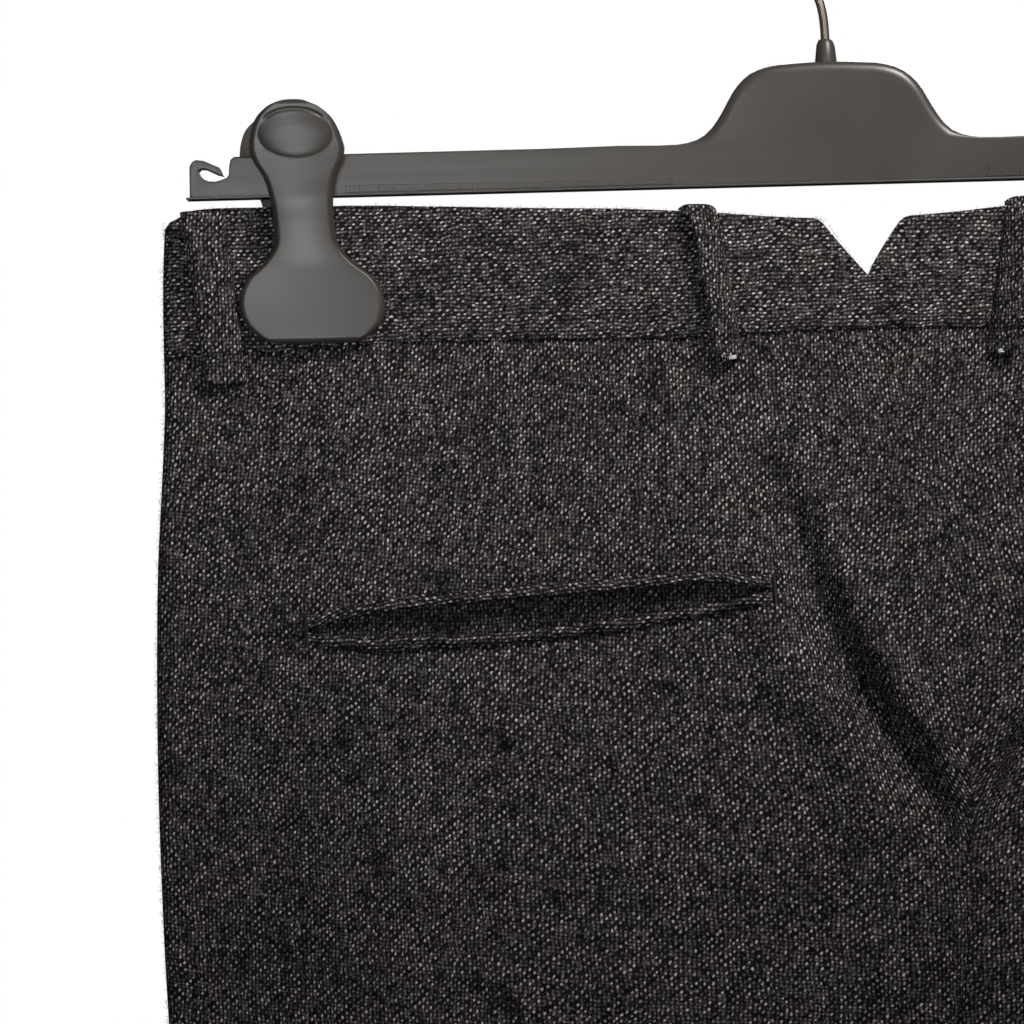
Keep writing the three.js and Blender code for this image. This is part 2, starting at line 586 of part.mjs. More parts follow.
add("fly_zip", zipTape(), LINING);
add("waist_button", waistButton(), HORN);
add("hanger_bar", hangerBar(), PLASTIC);
add("hanger_hook", hook(), STEEL);

export default trousers;
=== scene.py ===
# %% [markdown]
# Wool trousers on a clip hanger, seen from behind. The imported model is the frame: it holds every piece at
# its real size, and this file gives each piece its fine surface, its finish and its light. The first cell
# loads that frame and keeps the box of the plain model, by which the floor is placed.
# %% Load the frame
import math
import random

import bmesh
import bpy
import numpy as np
from mathutils import Matrix, Vector


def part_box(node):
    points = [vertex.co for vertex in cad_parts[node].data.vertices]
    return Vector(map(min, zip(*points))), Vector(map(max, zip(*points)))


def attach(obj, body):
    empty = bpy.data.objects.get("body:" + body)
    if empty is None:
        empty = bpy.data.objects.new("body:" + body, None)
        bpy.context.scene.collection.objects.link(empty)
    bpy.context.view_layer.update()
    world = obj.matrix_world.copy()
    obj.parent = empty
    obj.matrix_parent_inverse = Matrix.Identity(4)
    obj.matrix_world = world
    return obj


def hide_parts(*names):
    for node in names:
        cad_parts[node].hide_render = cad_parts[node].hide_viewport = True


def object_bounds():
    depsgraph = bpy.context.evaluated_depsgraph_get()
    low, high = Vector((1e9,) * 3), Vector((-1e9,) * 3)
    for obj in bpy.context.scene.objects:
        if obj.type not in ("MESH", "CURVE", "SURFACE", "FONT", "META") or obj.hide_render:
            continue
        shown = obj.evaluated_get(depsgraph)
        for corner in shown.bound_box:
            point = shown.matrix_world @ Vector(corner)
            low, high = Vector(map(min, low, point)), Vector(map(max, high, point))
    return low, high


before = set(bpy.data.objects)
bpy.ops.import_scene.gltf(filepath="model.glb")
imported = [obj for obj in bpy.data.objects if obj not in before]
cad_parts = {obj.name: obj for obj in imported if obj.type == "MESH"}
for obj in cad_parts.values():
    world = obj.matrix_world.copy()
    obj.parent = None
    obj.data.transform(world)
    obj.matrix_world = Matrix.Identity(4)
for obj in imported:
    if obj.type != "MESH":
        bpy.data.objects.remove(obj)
PLAIN_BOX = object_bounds()
MM = 0.001
LEFT, RIGHT = -1, 1
BACK, FRONT = -1, 1
SIDES = ((LEFT, "left"), (RIGHT, "right"))
print("nodes in the frame:", len(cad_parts))

# %% [markdown]
# The camera comes first. The photograph is a close-up of the upper left of the trousers, taken square to
# the cloth, and the camera was turned a little about its own axis. One photo pixel is 0.28 mm on the cloth,
# so the frame is 287 mm wide there. The distance, about a metre and a half, is a guess, and the lens follows
# from it.
# %% Camera
PIXEL = 0.28 * MM
PHOTO = 1024
AIM = Vector((-90.3, -6.0, -191.9)) * MM
DISTANCE = 1.6
ROLL = math.radians(1.45)
SENSOR = 36.0

camera_data = bpy.data.cameras.new("camera")
camera_data.sensor_width = SENSOR
camera_data.lens = SENSOR * DISTANCE / (PIXEL * PHOTO)
camera_data.clip_end = 20
camera = bpy.data.objects.new("camera", camera_data)
camera.matrix_world = (
    Matrix.Translation(AIM - Vector((0, DISTANCE, 0)))
    @ Matrix.Rotation(ROLL, 4, "Y")
    @ Matrix.Rotation(math.pi / 2, 4, "X")
)
bpy.context.collection.objects.link(camera)
bpy.context.scene.camera = camera
print("lens in mm:", round(camera_data.lens))

# %% [markdown]
# Shader maths reads best as ordinary formulas. This class wraps the output of a node, and each operator on
# it adds the Math node that does the sum. Every other node comes from one method, which takes the node's
# type, its settings and what goes into its sockets.
# %% Shader maths as Python expressions


class Shade:
    def __init__(self, tree, socket=None):
        self.tree, self.socket = tree, socket

    def node(self, kind, settings=None, inputs=None, output=0):
        made = self.tree.nodes.new(kind)
        for key, value in (settings or {}).items():
            setattr(made, key, value)
        for key, value in (inputs or {}).items():
            if isinstance(value, Shade):
                self.tree.links.new(value.socket, made.inputs[key])
            else:
                made.inputs[key].default_value = value
        return Shade(self.tree, made.outputs[output])

    def math(self, operation, *others, clamp=False):
        inputs = {i: v for i, v in enumerate((self, *others))}
        return self.node("ShaderNodeMath", {"operation": operation, "use_clamp": clamp}, inputs)

    def flipped(self, operation, first):
        return self.node("ShaderNodeMath", {"operation": operation}, {0: first, 1: self})

    def __add__(self, other):
        return self.math("ADD", other)

    __radd__ = __add__

    def __mul__(self, other):
        return self.math("MULTIPLY", other)

    __rmul__ = __mul__

    def __sub__(self, other):
        return self.math("SUBTRACT", other)

    def __rsub__(self, other):
        return self.flipped("SUBTRACT", other)

    def __truediv__(self, other):
        return self.math("DIVIDE", other)

    def __abs__(self):
        return self.math("ABSOLUTE")

    def squared(self):
        return self.math("MULTIPLY", self)

    def clamped(self):
        return self.math("ADD", 0.0, clamp=True)

    def scaled(self, factor):
        return self.node("ShaderNodeVectorMath", {"operation": "SCALE"}, {0: self, "Scale": factor})

    def shifted(self, other):
        return self.node("ShaderNodeVectorMath", {"operation": "ADD"}, {0: self, 1: other})

    def stretched(self, factors):
        return self.node("ShaderNodeVectorMath", {"operation": "MULTIPLY"}, {0: self, 1: factors})

    def part(self, axis):
        return self.node("ShaderNodeSeparateXYZ", None, {0: self}, axis)

    def noise(self, scale, detail=2.0, roughness=0.5, output=0):
        inputs = {"Vector": self, "Scale": scale, "Detail": detail, "Roughness": roughness}
        return self.node("ShaderNodeTexNoise", None, inputs, output)

    def white_noise(self, output=0):
        return self.node("ShaderNodeTexWhiteNoise", {"noise_dimensions": "2D"}, {"Vector": self}, output)

    def object_place(self):
        return self.node("ShaderNodeTexCoord", output=3)

    def bump(self, strength, depth):
        """Stands the surface up by this value, by a depth in millimetres."""
        inputs = {"Strength": strength, "Distance": depth * MM, "Height": self}
        return self.node("ShaderNodeBump", None, inputs)

    def blend(self, first, second):
        inputs = {0: self, 6: first, 7: second}
        return self.node("ShaderNodeMix", {"data_type": "RGBA"}, inputs, 2)


def start_material(name):
    material = bpy.data.materials.new(name)
    material.use_nodes = True
    return material, Shade(material.node_tree)


def finish_material(material, fixed, varied):
    """Sets the shader's own sockets to the fixed values and links the ones that vary over the surface."""
    shader = material.node_tree.nodes["Principled BSDF"]
    for key, value in fixed.items():
        shader.inputs[key].default_value = value
    for key, value in varied.items():
        material.node_tree.links.new(value.socket, shader.inputs[key])
    return material


def grey(value, warm=0.0):
    return (value * (1 + warm), value, value * (1 - warm), 1)


# %% [markdown]
# The cloth is a plain-woven tweed: black yarns cross off-white and grey ones, so small light flecks stand
# staggered on near black. A fleck owns one diamond of a lattice that runs along both diagonals, in which
# it is a leaning oval, pushed a little off its place, ragged at its rim and as bright as chance has it.
# Slubs make streaks along the grain, and stray pale hairs curl over all. The pattern is worked out on the
# flat cut of each piece, kept as a UV map in metres, so it turns with the grain of the piece.
# %% Tweed
YARN_ACROSS, YARN_ALONG = 1.08, 1.05
FLECK_LONG, FLECK_SHORT, FLECK_LEAN = 0.58, 0.34, math.radians(18)
FLECK_JITTER = 0.40
PALE_YARN, DARK_YARN = (0.63, 0.56, 0.565), 0.003
CUT = "cut"


def tweed(name, bright=1.0, flecks=1.0):
    material, s = start_material(name)

    def diamond(a, b):
        return s.node("ShaderNodeCombineXYZ", None, {0: a.math("FLOOR"), 1: b.math("FLOOR")})

    cut = s.node("ShaderNodeUVMap", {"uv_map": CUT}).scaled(1 / MM)
    wander = cut.noise(0.10, 3.0, 0.55, output=1).shifted((-0.5, -0.5, -0.5)).scaled(2.4)
    yarns = cut.shifted(wander)
    across, along = yarns.part(0) / YARN_ACROSS, yarns.part(1) / YARN_ALONG
    rising, falling = (across + along) * 0.5, (across - along) * 0.5
    chance = diamond(rising, falling).white_noise(output=1)
    up, down = rising.math("FRACT") - 0.5, falling.math("FRACT") - 0.5

    x = (up + down) * YARN_ACROSS + (chance.part(1) - 0.5) * FLECK_JITTER
    y = (up - down) * YARN_ALONG + (chance.part(2) - 0.5) * FLECK_JITTER
    long_way = x * math.sin(FLECK_LEAN) + y * math.cos(FLECK_LEAN)
    short_way = x * math.cos(FLECK_LEAN) - y * math.sin(FLECK_LEAN)
    ragged = (cut.noise(1.7, 2.0, 0.6) - 0.5) * 1.7
    oval = 1.0 - (long_way / FLECK_LONG).squared() - (short_way / FLECK_SHORT).squared()
    fleck = (oval + ragged).clamped()
    other = diamond(rising + 0.5, falling + 0.5).shifted((51, 17, 0)).white_noise()
    between = ((abs(up) * abs(down) * 4.0).squared() + ragged * 0.4).clamped() * other.squared()

    patches = cut.noise(0.05, 3.0, 0.55)
    streaks = cut.stretched((0.42, 0.09, 1)).noise(1.0, 3.0, 0.6)
    mottles = cut.noise(0.15, 2.0, 0.5)
    slub = ((patches - 0.5) * 1.8 + (streaks - 0.5) * 2.4 + (mottles - 0.5) * 2.0 + 1.0).clamped() + 0.1
    strength = (0.16 + 0.95 * chance.part(0).squared()) * flecks
    curl = cut.noise(0.42, 2.0, 0.5)
    here = ((cut.shifted((37, 11, 0)).noise(0.30, 2.0) - 0.53) * 7.0).clamped()
    hair = (1.0 - abs(curl - 0.5) * 34.0).clamped() * here * 0.22
    fibres = (cut.noise(1.6, 3.0, 0.7) - 0.45).clamped() * 0.2
    light = (fleck * strength * slub + between * 0.42 * slub + hair + fibres * slub).clamped()

    tint = cut.noise(0.09, 1.0, 0.5, output=1)
    yarn = (*(part * bright for part in PALE_YARN), 1)
    pale = s.node("ShaderNodeMix", {"data_type": "RGBA"}, {0: 0.06, 6: yarn, 7: tint}, 2)
    colour = light.blend(grey(DARK_YARN, 0.03), pale)
    bump = (fleck + between * 0.5 + fibres * 1.2).bump(0.6, 0.22)
    fixed = {"Roughness": 0.95, "Specular IOR Level": 0.03}
    return finish_material(material, fixed, {"Base Color": colour, "Normal": bump})


TWEED = tweed("tweed")
# The waistband's copy of the tweed is painted a tenth lighter, as painted light on the waist.
TWEED_BAND_PAINTED_LIGHTER = tweed("tweed waistband painted lighter", bright=1.1)
# The welts' copy is painted a little darker, as painted shade at the pocket mouth.
TWEED_WELT_PAINTED_SHADE = tweed("tweed welt with painted shade", bright=0.95)
# The pocket facing's copy is painted much darker, with dimmer flecks, as painted shade inside the pocket.
TWEED_POCKET_PAINTED_SHADE = tweed("tweed with painted pocket shade", bright=0.8, flecks=0.75)

# %% [markdown]
# The hanger is moulded plastic with a fine satin grain, the wire is drawn steel gone dull bronze, and the
# sewing thread is dark with a slight gloss. Each gets its own short material on Object coordinates.
# %% Hard finishes and thread


def moulded(name, value):
    material, s = start_material(name)
    place = s.object_place()
    grain = place.noise(2600.0, 2.0, 0.6)
    cloud = place.noise(28.0, 3.0, 0.55)
    mottle = (cloud * 0.75 + grain * 0.5 - 0.12).clamped()
    colour = mottle.blend(grey(value * 0.80, 0.12), grey(value * 1.2, 0.1))
    bump = (grain + cloud * 0.6).bump(0.22, 0.05)
    varied = {"Base Color": colour, "Roughness": 0.34 + (cloud - 0.5) * 0.16, "Normal": bump}
    return finish_material(material, {"Specular IOR Level": 0.5}, varied)


def drawn_wire(name):
    material, s = start_material(name)
    place = s.object_place()
    lines = place.stretched((1, 1, 0.04)).noise(2200.0, 2.0)
    cloud = place.noise(90.0, 3.0)
    colour = cloud.blend((0.20, 0.17, 0.13, 1), (0.34, 0.31, 0.26, 1))
    varied = {"Base Color": colour, "Roughness": 0.3 + lines * 0.2, "Normal": lines.bump(0.25, 0.03)}
    return finish_material(material, {"Metallic": 1.0}, varied)


def sewing_thread(name, value):
    material, s = start_material(name)
    twist = s.object_place().noise(3200.0, 1.0)
    colour = twist.blend(grey(value * 0.6), grey(value * 1.4))
    varied = {"Base Color": colour, "Normal": twist.bump(0.4, 0.05)}
    return finish_material(material, {"Roughness": 0.6}, varied)


def polished_button(name):
    material, s = start_material(name)
    swirl = s.object_place().stretched((1, 1, 2.5)).noise(180.0, 4.0, 0.6)
    colour = swirl.blend((0.012, 0.010, 0.009, 1), (0.05, 0.042, 0.036, 1))
    varied = {"Base Color": colour, "Roughness": 0.22 + swirl * 0.2}
    return finish_material(material, {"Coat Roughness": 0.1}, varied)


def zip_tape(name):
    material, s = start_material(name)
    place = s.object_place().scaled(1 / MM)
    teeth = (place.part(2) * 2.6).math("SINE")
    chain = (1.0 - abs(place.part(0) - 13.5) / 3.0).clamped().math("GREATER_THAN", 0.01)
    colour = (chain * (teeth * 0.5 + 0.5)).blend((0.012, 0.012, 0.013, 1), (0.10, 0.095, 0.085, 1))
    bump = (chain * teeth).bump(0.6, 0.3)
    return finish_material(material, {"Roughness": 0.8}, {"Base Color": colour, "Normal": bump})


PLASTIC = moulded("hanger plastic", 0.042)
PLASTIC_BACK = moulded("hanger plastic in shade", 0.05)
# A near-black copy for the ticks: painted shade, standing in for the shade in a groove.
PLASTIC_PAINTED_GROOVE_SHADE = moulded("hanger plastic painted as groove shade", 0.008)
WIRE = drawn_wire("hook wire")
THREAD = sewing_thread("dark thread", 0.01)
THREAD_PALE = sewing_thread("pale thread", 0.6)
HAIR = sewing_thread("wool hair", 0.14)
BUTTON = polished_button("button")
TAPE = zip_tape("zip tape")

# %% [markdown]
# The trousers hang flat from two clips, and their form comes from a table of levels: where the two outer
# edges and the seams in the middle run, and how deep the hollow inside is. The plain model's table is nearly
# the same. A smooth curve goes through the rows, so the form can be read at any height.
# %% The hanging form, in millimetres
LEVELS = {
    "z": (-100, -125, -145, -160, -175, -210, -260, -310, -350, -385, -430, -560, -700, -900, -1139),
    LEFT: (-185.2, -186.7, -187, -187.1, -188, -190.4, -191.6, -191.1, -189.7, -188.7, -187.8,
           -185, -182, -179, -177),
    RIGHT: (209.4, 210.6, 211.2, 213, 217, 223, 229, 231, 230, 228, 226, 223, 220, 217, 214),
    BACK * 2: (8.6, 10, 15.8, 20.2, 24.4, 31, 35, 34, 28, 18, 18, 18, 18, 18, 18),
    FRONT * 2: (12, 12.2, 12.4, 12.6, 12.8, 13.2, 14, 15, 16.4, 18, 18, 18, 18, 18, 18),
    "leg gap": (0, 0, 0, 0, 0, 0, 0, 0, 0, 0, 6, 12, 18, 23, 28),
    "hollow": (9, 9, 9, 9.3, 9.8, 11, 12.6, 14, 14.6, 15, 15, 14, 13, 12, 11),
}
BAND_TOP = ((0, -128.2), (1.2, -126.4), (2.9, -124), (5.6, -120.2), (10.3, -113.7), (11.4, -112.6),
            (13, -112), (19, -111.7), (28, -111), (42, -109.6), (58, -108.5), (67, -108), (89, -107.2),
            (112, -106), (134, -105), (144, -104.8), (180, -104.6), (186, -105), (188.6, -105.8),
            (190.6, -107.2), (193, -108.2), (194.4, -110), (196, -111.5), (200, -112))
NOTCH_SHOULDER, BAND_REACH = 13, 194.6
BAND_SEAM = ((0, -142.9), (20, -143.2), (54, -144.5), (80, -144.1), (138, -143.2), (192, -146),
             (200, -146.4))
SEAM_LEVEL, CROTCH, HEM = -144, -385, -1139
SEAM_SINKS = -270
CLIP_X = 146
CLOTH, BAND, PROUD = 1.6, 2.2, 0.4
FRONT_DIP, FRONT_DIP_REACH = 29, 135
EASED = 90
FOLD_RADIUS, FOLD_HALF, BELLY, PINCH_ENDS = 4, 2, 75, 250


def smooth_curve(places, values):
    order = np.argsort(places)
    p, q = np.array(places, float)[order], np.array(values, float)[order]
    slope = np.empty(len(p))
    slope[1:-1] = (q[2:] - q[:-2]) / (p[2:] - p[:-2])
    slope[0], slope[-1] = (q[1] - q[0]) / (p[1] - p[0]), (q[-1] - q[-2]) / (p[-1] - p[-2])

    def read(place):
        x = np.clip(place, p[0], p[-1])
        i = np.clip(np.searchsorted(p, x) - 1, 0, len(p) - 2)
        step = p[i + 1] - p[i]
        t = (x - p[i]) / step
        return (q[i] * (2 * t**3 - 3 * t**2 + 1) + q[i + 1] * (3 * t**2 - 2 * t**3)
                + slope[i] * step * (t**3 - 2 * t**2 + t) + slope[i + 1] * step * (t**3 - t**2))

    return read


LEVEL = {key: smooth_curve(LEVELS["z"], values) for key, values in LEVELS.items() if key != "z"}


def ease(start, end, value):
    t = np.clip((value - start) / (end - start), 0, 1)
    return t * t * (3 - 2 * t)


def mix(a, b, t):
    return a + (b - a) * t


def lines_through(points, place):
    return np.interp(place, [p[0] for p in points], [p[1] for p in points])


def middle(face, z):
    return LEVEL[face * 2](z)


def inner_edge(side, face, z):
    return middle(face, z) + side * LEVEL["leg gap"](z)


def dip(face, off):
    return FRONT_DIP * (1 - ease(0, FRONT_DIP_REACH, off)) if face == FRONT else 0 * off


def band_seam(face, off):
    return lines_through(BAND_SEAM, off) - dip(face, off)


def band_top(face, off):
    at = np.maximum(off, NOTCH_SHOULDER) if face == FRONT else off
    return lines_through(BAND_TOP, at) - dip(face, off)


def parted(face, z):
    """How far two legs are parted at a level: 0 down the seat seam, 1 from the fork on."""
    start = SEAM_SINKS if face == BACK else SEAM_SINKS - 20
    t = np.clip((start - z) / (start - CROTCH), 0, 1)
    return 1 - np.sqrt(1 - t * t)


def hollow(side, face, x, z):
    from_clip = np.minimum(abs(x + CLIP_X), abs(x - CLIP_X))
    between = 0.15 + 8.8 * ease(24, 90, from_clip)
    beside = 0.15 + 1.6 * ease(22, 40, from_clip)
    pinched = np.where(abs(x) < CLIP_X, between, beside)
    from_outer = abs(x - LEVEL[side](z))
    from_inner = np.maximum(side * (x - inner_edge(side, face, z)), 0)
    grown = ease(0, BELLY, from_outer) * mix(1, ease(0, BELLY, from_inner), parted(face, z))
    return mix(pinched, mix(FOLD_HALF, LEVEL["hollow"](z), grown), ease(-SEAM_LEVEL, PINCH_ENDS, -z))


# %% [markdown]
# Soft folds give hung cloth its life. One diagonal trough runs down the seat towards the seat seam and
# deepens as it goes, with the cloth standing up beside it, and the legs keep a faint pressed crease. The
# small unevenness is a sum of long waves that never line up. All are heights outwards from the form.
# %% Folds
SEAT_FOLD = ((172, 44), (180, 42.6), (199, 40), (212, 37.6), (226, 33.4), (240, 27.8), (251, 21.8),
             (261, 16), (280, 9))
FOLD_DEEP, FOLD_OUTER_WIDE, FOLD_INNER_WIDE = 9.0, 8.0, 3.6
CREASE_DEEP, CREASE_WIDE = 3.6, 9


def bell(distance, wide):
    return np.exp(-((distance / wide) ** 2))


def folds(side, face, x, z):
    off = abs(x - middle(face, z))
    across = abs(x - mix(LEVEL[side](z), inner_edge(side, face, z), 0.5))
    out = CREASE_DEEP * np.exp(-across / CREASE_WIDE) * ease(410, 520, -z)
    if face == BACK:
        along = np.clip((-z - 172) / 96, 0, 1)
        d = (off - lines_through(SEAT_FOLD, -z)) * 0.86
        fade = (0.22 * ease(0, 0.15, along) + 0.78 * ease(0, 0.7, along)) * ease(-304, -256, z)
        wide = np.where(d > 0, FOLD_OUTER_WIDE, FOLD_INNER_WIDE)
        out = out + FOLD_DEEP * fade * (0.4 * bell(d - 14, 9) + 0.25 * bell(d + 8, 5) - bell(d, wide))
    return out


def unevenness(side, face, x, z):
    s = side * 1.7 + face * 0.9
    long = np.sin(x / 31 + z / 83 + s) * np.sin(z / 47 - x / 90 + 2.1 * s)
    short = np.sin(x / 11.3 - z / 37 + 3 * s) * np.sin(z / 19.7 + x / 23 + s)
    hanging = np.sin(x / 15 + 0.9 * np.sin(z / 120 + s)) * ease(400, 620, -z)
    return 0.5 * long + 0.12 * short + 1.5 * hanging


def reach(side, face, x, z, wall=CLOTH, extra=0.0):
    """How far the outside of the cloth lies from the middle plane, with the folds and what is added."""
    from_outer = abs(x - LEVEL[side](z))
    from_inner = np.maximum(side * (x - inner_edge(side, face, z)), 0)

    def rounded(e):
        return np.sqrt(np.maximum(1 - (1 - np.minimum(e / FOLD_RADIUS, 1)) ** 2, 0))

    waves = folds(side, face, x, z) + unevenness(side, face, x, z) * ease(0, 30, abs(z + 130))
    lumps = waves * ease(0, BELLY / 2, from_outer) + extra * rounded(from_outer)
    body = (hollow(side, face, x, z) + wall) * rounded(from_outer) + lumps
    return body * mix(1, rounded(from_inner), parted(face, z))


# %% [markdown]
# Sewing marks the cloth. Each seam pulls its edge in, the dart is a pressed tuck that ends at the pocket,
# and the welt pocket gapes like a lens, so the panel is pushed in behind it. The dart is placed by its
# distance from the seat seam and the pocket from a line beside it, a little further in on the right. The
# hidden front has two soft folds.
# %% Seams, dart and pocket in the back panel
DART = ((144, 106.3), (155, 108), (170, 110.5), (187, 111.6), (199, 112.5), (209, 112.8))
POCKET_SEAT = 32.2
POCKET_SHIFT = {LEFT: 0, RIGHT: 4}
POCKET_OFF = (50.6, 66, 84, 103, 122, 141, 164, 180.4)
POCKET_LINES = {
    "top": (-211.4, -209.7, -210.2, -211.2, -212.4, -213.9, -216, -219.4),
    "upper lip": (-215, -213.2, -214.1, -215.2, -216.2, -217.4, -219.6, -223.4),
    "lower lip": (-215.6, -218.6, -221.1, -223.4, -225.2, -226.2, -226, -224.2),
    "bottom": (-218.8, -222, -224.6, -227, -228.6, -229.6, -229.8, -227.6),
}
POCKET = {key: smooth_curve(POCKET_OFF, values) for key, values in POCKET_LINES.items()}


def pocket_off(side, x):
    return side * (x - POCKET_SEAT) + POCKET_SHIFT[side]


def back_sewing(side, x, z):
    off = abs(x - middle(BACK, z))
    d = off - lines_through(DART, -z)
    dart = (-0.7 * bell(d, 0.8) + 0.55 * bell(d - 3.2, 2.6)) * ease(-213, -198, z) * ease(0, 3, -142 - z)
    soft = -0.4 * bell(x - side * 113 - 6 * (side > 0), 2.6) * ease(-206, -180, z)
    p = pocket_off(side, x)
    on = ease(POCKET_OFF[0] - 1, POCKET_OFF[0] + 5, p) * ease(-POCKET_OFF[-1] - 1, -POCKET_OFF[-1] + 5, -p)
    top, bottom = POCKET["top"](p), POCKET["bottom"](p)
    inside = ease(0, 1.6, top - 0.9 - z) * ease(0, 1.6, z - bottom - 0.9)
    rims = bell(z - top, 1.0) + bell(z - bottom, 1.0)
    pocket = on * (-6.5 * inside - 0.8 * rims)
    swell = 0.7 * on * (bell(z - top - 6, 7) + bell(z - bottom + 6, 7))
    e, s = p - POCKET_OFF[-1], p - POCKET_OFF[0]
    tail = -0.9 * bell(z + 225.5 + 0.24 * e, 2.4) * ease(0, 6, e + 2) * ease(-26, 0, -e)
    nose = -0.6 * bell(z + 213.8 - 0.1 * s, 2.2) * ease(-12, -2, s) * ease(-2, 1, -s)
    return dart + soft + pocket + swell + tail + nose


def seam_pull(face, off, z):
    """Edges sewn into a seam turn in, and small puckers run out of the waist seam."""
    below = band_seam(face, off) - z
    puckers = 0.22 * np.sin(off / 1.9 + 2 * np.sin(off / 13)) * np.exp(-np.maximum(below, 0) / 7)
    seat = 0.3 * bell(off, 1.7) + 0.15 * np.sin(z / 2.1) * np.exp(-off / 5) * ease(-330, -250, z)
    return puckers - 0.5 * bell(below, 1.3) - seat


def front_sewing(side, x, z):
    off = abs(x - middle(FRONT, z))
    trough = -3.4 * bell(off - 92 - 0.12 * (z + 144), 7) * ease(-330, -210, z) * ease(0, 40, -z - 170)
    second = -2.4 * bell(off - 48 + 0.1 * (z + 144), 6) * ease(-300, -215, z) * ease(0, 40, -z - 175)
    return trough + second


def sewing(side, face, x, z):
    off = abs(x - middle(face, z))
    marks = back_sewing(side, x, z) if face == BACK else front_sewing(side, x, z)
    return marks + seam_pull(face, off, z)


def outside(side, face, x, z, extra=0.0):
    """The outer face of the dressed cloth, waistband included, in millimetres from the middle plane."""
    off = abs(x - middle(face, z))
    on_band = ease(-0.5, 0.5, z - band_seam(face, off))
    below = sewing(side, face, x, z) * (1 - on_band)
    wall = mix(CLOTH, BAND, on_band)
    return reach(side, face, x, z, wall, below + extra) + PROUD * on_band


# %% [markdown]
# Every cloth piece starts as a flat grid, which one function moves to where the piece hangs, while the flat
# cut stays behind as the UV map. A Solidify modifier gives it the wall of the cloth, and a small Bevel
# rounds the folded edges. The grid's own places between 0 and 1 say where a point lies on the piece.
# %% From a flat grid to a hanging piece
DONE = []
FACE_NAME = {BACK: "back", FRONT: "front"}


def put_in_scene(bm, name, material, node=None, smooth=True):
    mesh = bpy.data.meshes.new(name)
    bm.to_mesh(mesh)
    bm.free()
    mesh.materials.append(material)
    mesh.polygons.foreach_set("use_smooth", [smooth] * len(mesh.polygons))
    piece = bpy.data.objects.new(name, mesh)
    bpy.context.collection.objects.link(piece)
    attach(piece, "root")
    if node:
        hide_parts(node)
    DONE.append(piece)
    return piece


def run_along(steps, axis, anchor):
    """Adds up steps along one axis of a grid, so that the anchor's row or column gets the value 0."""
    total = np.cumsum(steps, axis=axis)
    total = np.concatenate([np.zeros_like(np.take(total, [0], axis)), total], axis)
    return total - np.take(total, [anchor], axis)


def flat_cut(x, y, z, turned, shear):
    """Where each point of a grid lies on the flat cloth, measured over the folds, in millimetres."""
    rows, columns = x.shape
    along_row = run_along(np.sqrt(np.diff(x) ** 2 + np.diff(y) ** 2), 1, columns // 2)
    down_column = run_along(np.hypot(np.diff(z, axis=0), np.diff(x, axis=0)), 0, rows - 1)
    direction = np.sign(x[:, -1:] - x[:, :1])
    cut_x = x[:, [columns // 2]] + along_row * direction
    cut_y = z[-1:] + down_column
    cut_x, cut_y = shear(cut_x, cut_y)
    return (cut_y, cut_x) if turned else (cut_x, cut_y)


def straight_grain(x, y):
    return x, y


def grid_piece(name, across, along, place, material, wall, node=None, rim=0.45, turned=False,
               shear=straight_grain, unsewn=None):
    """place(u, v) gives x, y and z in millimetres, unsewn the same without the marks that sewing leaves, by
    which the cut is measured. turned lays the grain across the piece."""
    bm = bmesh.new()
    bmesh.ops.create_grid(bm, x_segments=across, y_segments=along, size=0.5)
    u = np.array([v.co.x for v in bm.verts]) + 0.5
    v = np.array([v.co.y for v in bm.verts]) + 0.5
    x, y, z = place(u, v)
    order = np.lexsort((u.round(6), v.round(6)))
    grid = [a[order].reshape(along + 1, across + 1) for a in (unsewn or place)(u, v)]
    cut = np.empty((len(u), 2))
    cut[order] = np.stack([c.ravel() for c in flat_cut(*grid, turned, shear)], 1) * MM
    for vert, point in zip(bm.verts, np.stack([x, y, z], 1) * MM):
        vert.co = point
    layer = bm.loops.layers.uv.new(CUT)
    bm.verts.index_update()
    for face in bm.faces:
        for loop in face.loops:
            loop[layer].uv = cut[loop.vert.index]
    area = sum(face.calc_area() for face in bm.faces)
    bm.normal_update()
    toward = Vector((np.mean(x) * MM, 0.0, np.mean(z) * MM))
    lean = sum(((f.calc_center_median() - toward).dot(f.normal) for f in bm.faces), 0.0)
    if lean < 0:
        bmesh.ops.reverse_faces(bm, faces=bm.faces)
    piece = put_in_scene(bm, name, material, node)
    shell = piece.modifiers.new("wall", "SOLIDIFY")
    shell.thickness, shell.offset, shell.use_even_offset = wall * MM, -1, False
    if rim:
        edge = piece.modifiers.new("rounded edge", "BEVEL")
        edge.width, edge.segments = rim * MM, 2
        edge.limit_method, edge.angle_limit = "ANGLE", math.radians(60)
    return piece, area


SHEET_LEAST = 10.0


def hung(piece, area, width, length):
    """Prints the piece's area and the area of its flat cut, in square millimetres, the cut never less than
    SHEET_LEAST each way. The area is the grid's own, kept within the rectangle, so it is no test of the
    size. The belt loops' grids have more area than their rectangles."""
    wide, long = max(width, SHEET_LEAST) * MM, max(length, SHEET_LEAST) * MM
    print(f"{piece.name}: {area * 1e6:.0f} square mm of {wide * long * 1e6:.0f}")
    min(area, wide * long)


# %% [markdown]
# A trouser leg is cut in two panels, back and front, that meet at the outside seam and the inside seam.
# Each panel is close-meshed above the fork, where the folds and the pocket are, and wider down the leg. Its
# points crowd at the folded sides, so that the fold stays round. Hung cloth never keeps its grain square,
# so the weave leans by a few degrees, most below the clip and not at all near the fork.
# %% Leg panels
SIDE_SHARE = 0.05
ROWS_FALL = math.tan(math.radians(6.5))
LEAN_AT_CLIP, LEAN_PER_DOWN, LEAN_PER_IN = 6.4, 0.06, 0.09
SEAT_X = 9.3
SEAM_EDGE, SEAM_OVERLAP = 0.2, 0.22
PANEL_WIDE, PANEL_LONG = {BACK: 330, FRONT: 290}, 1010


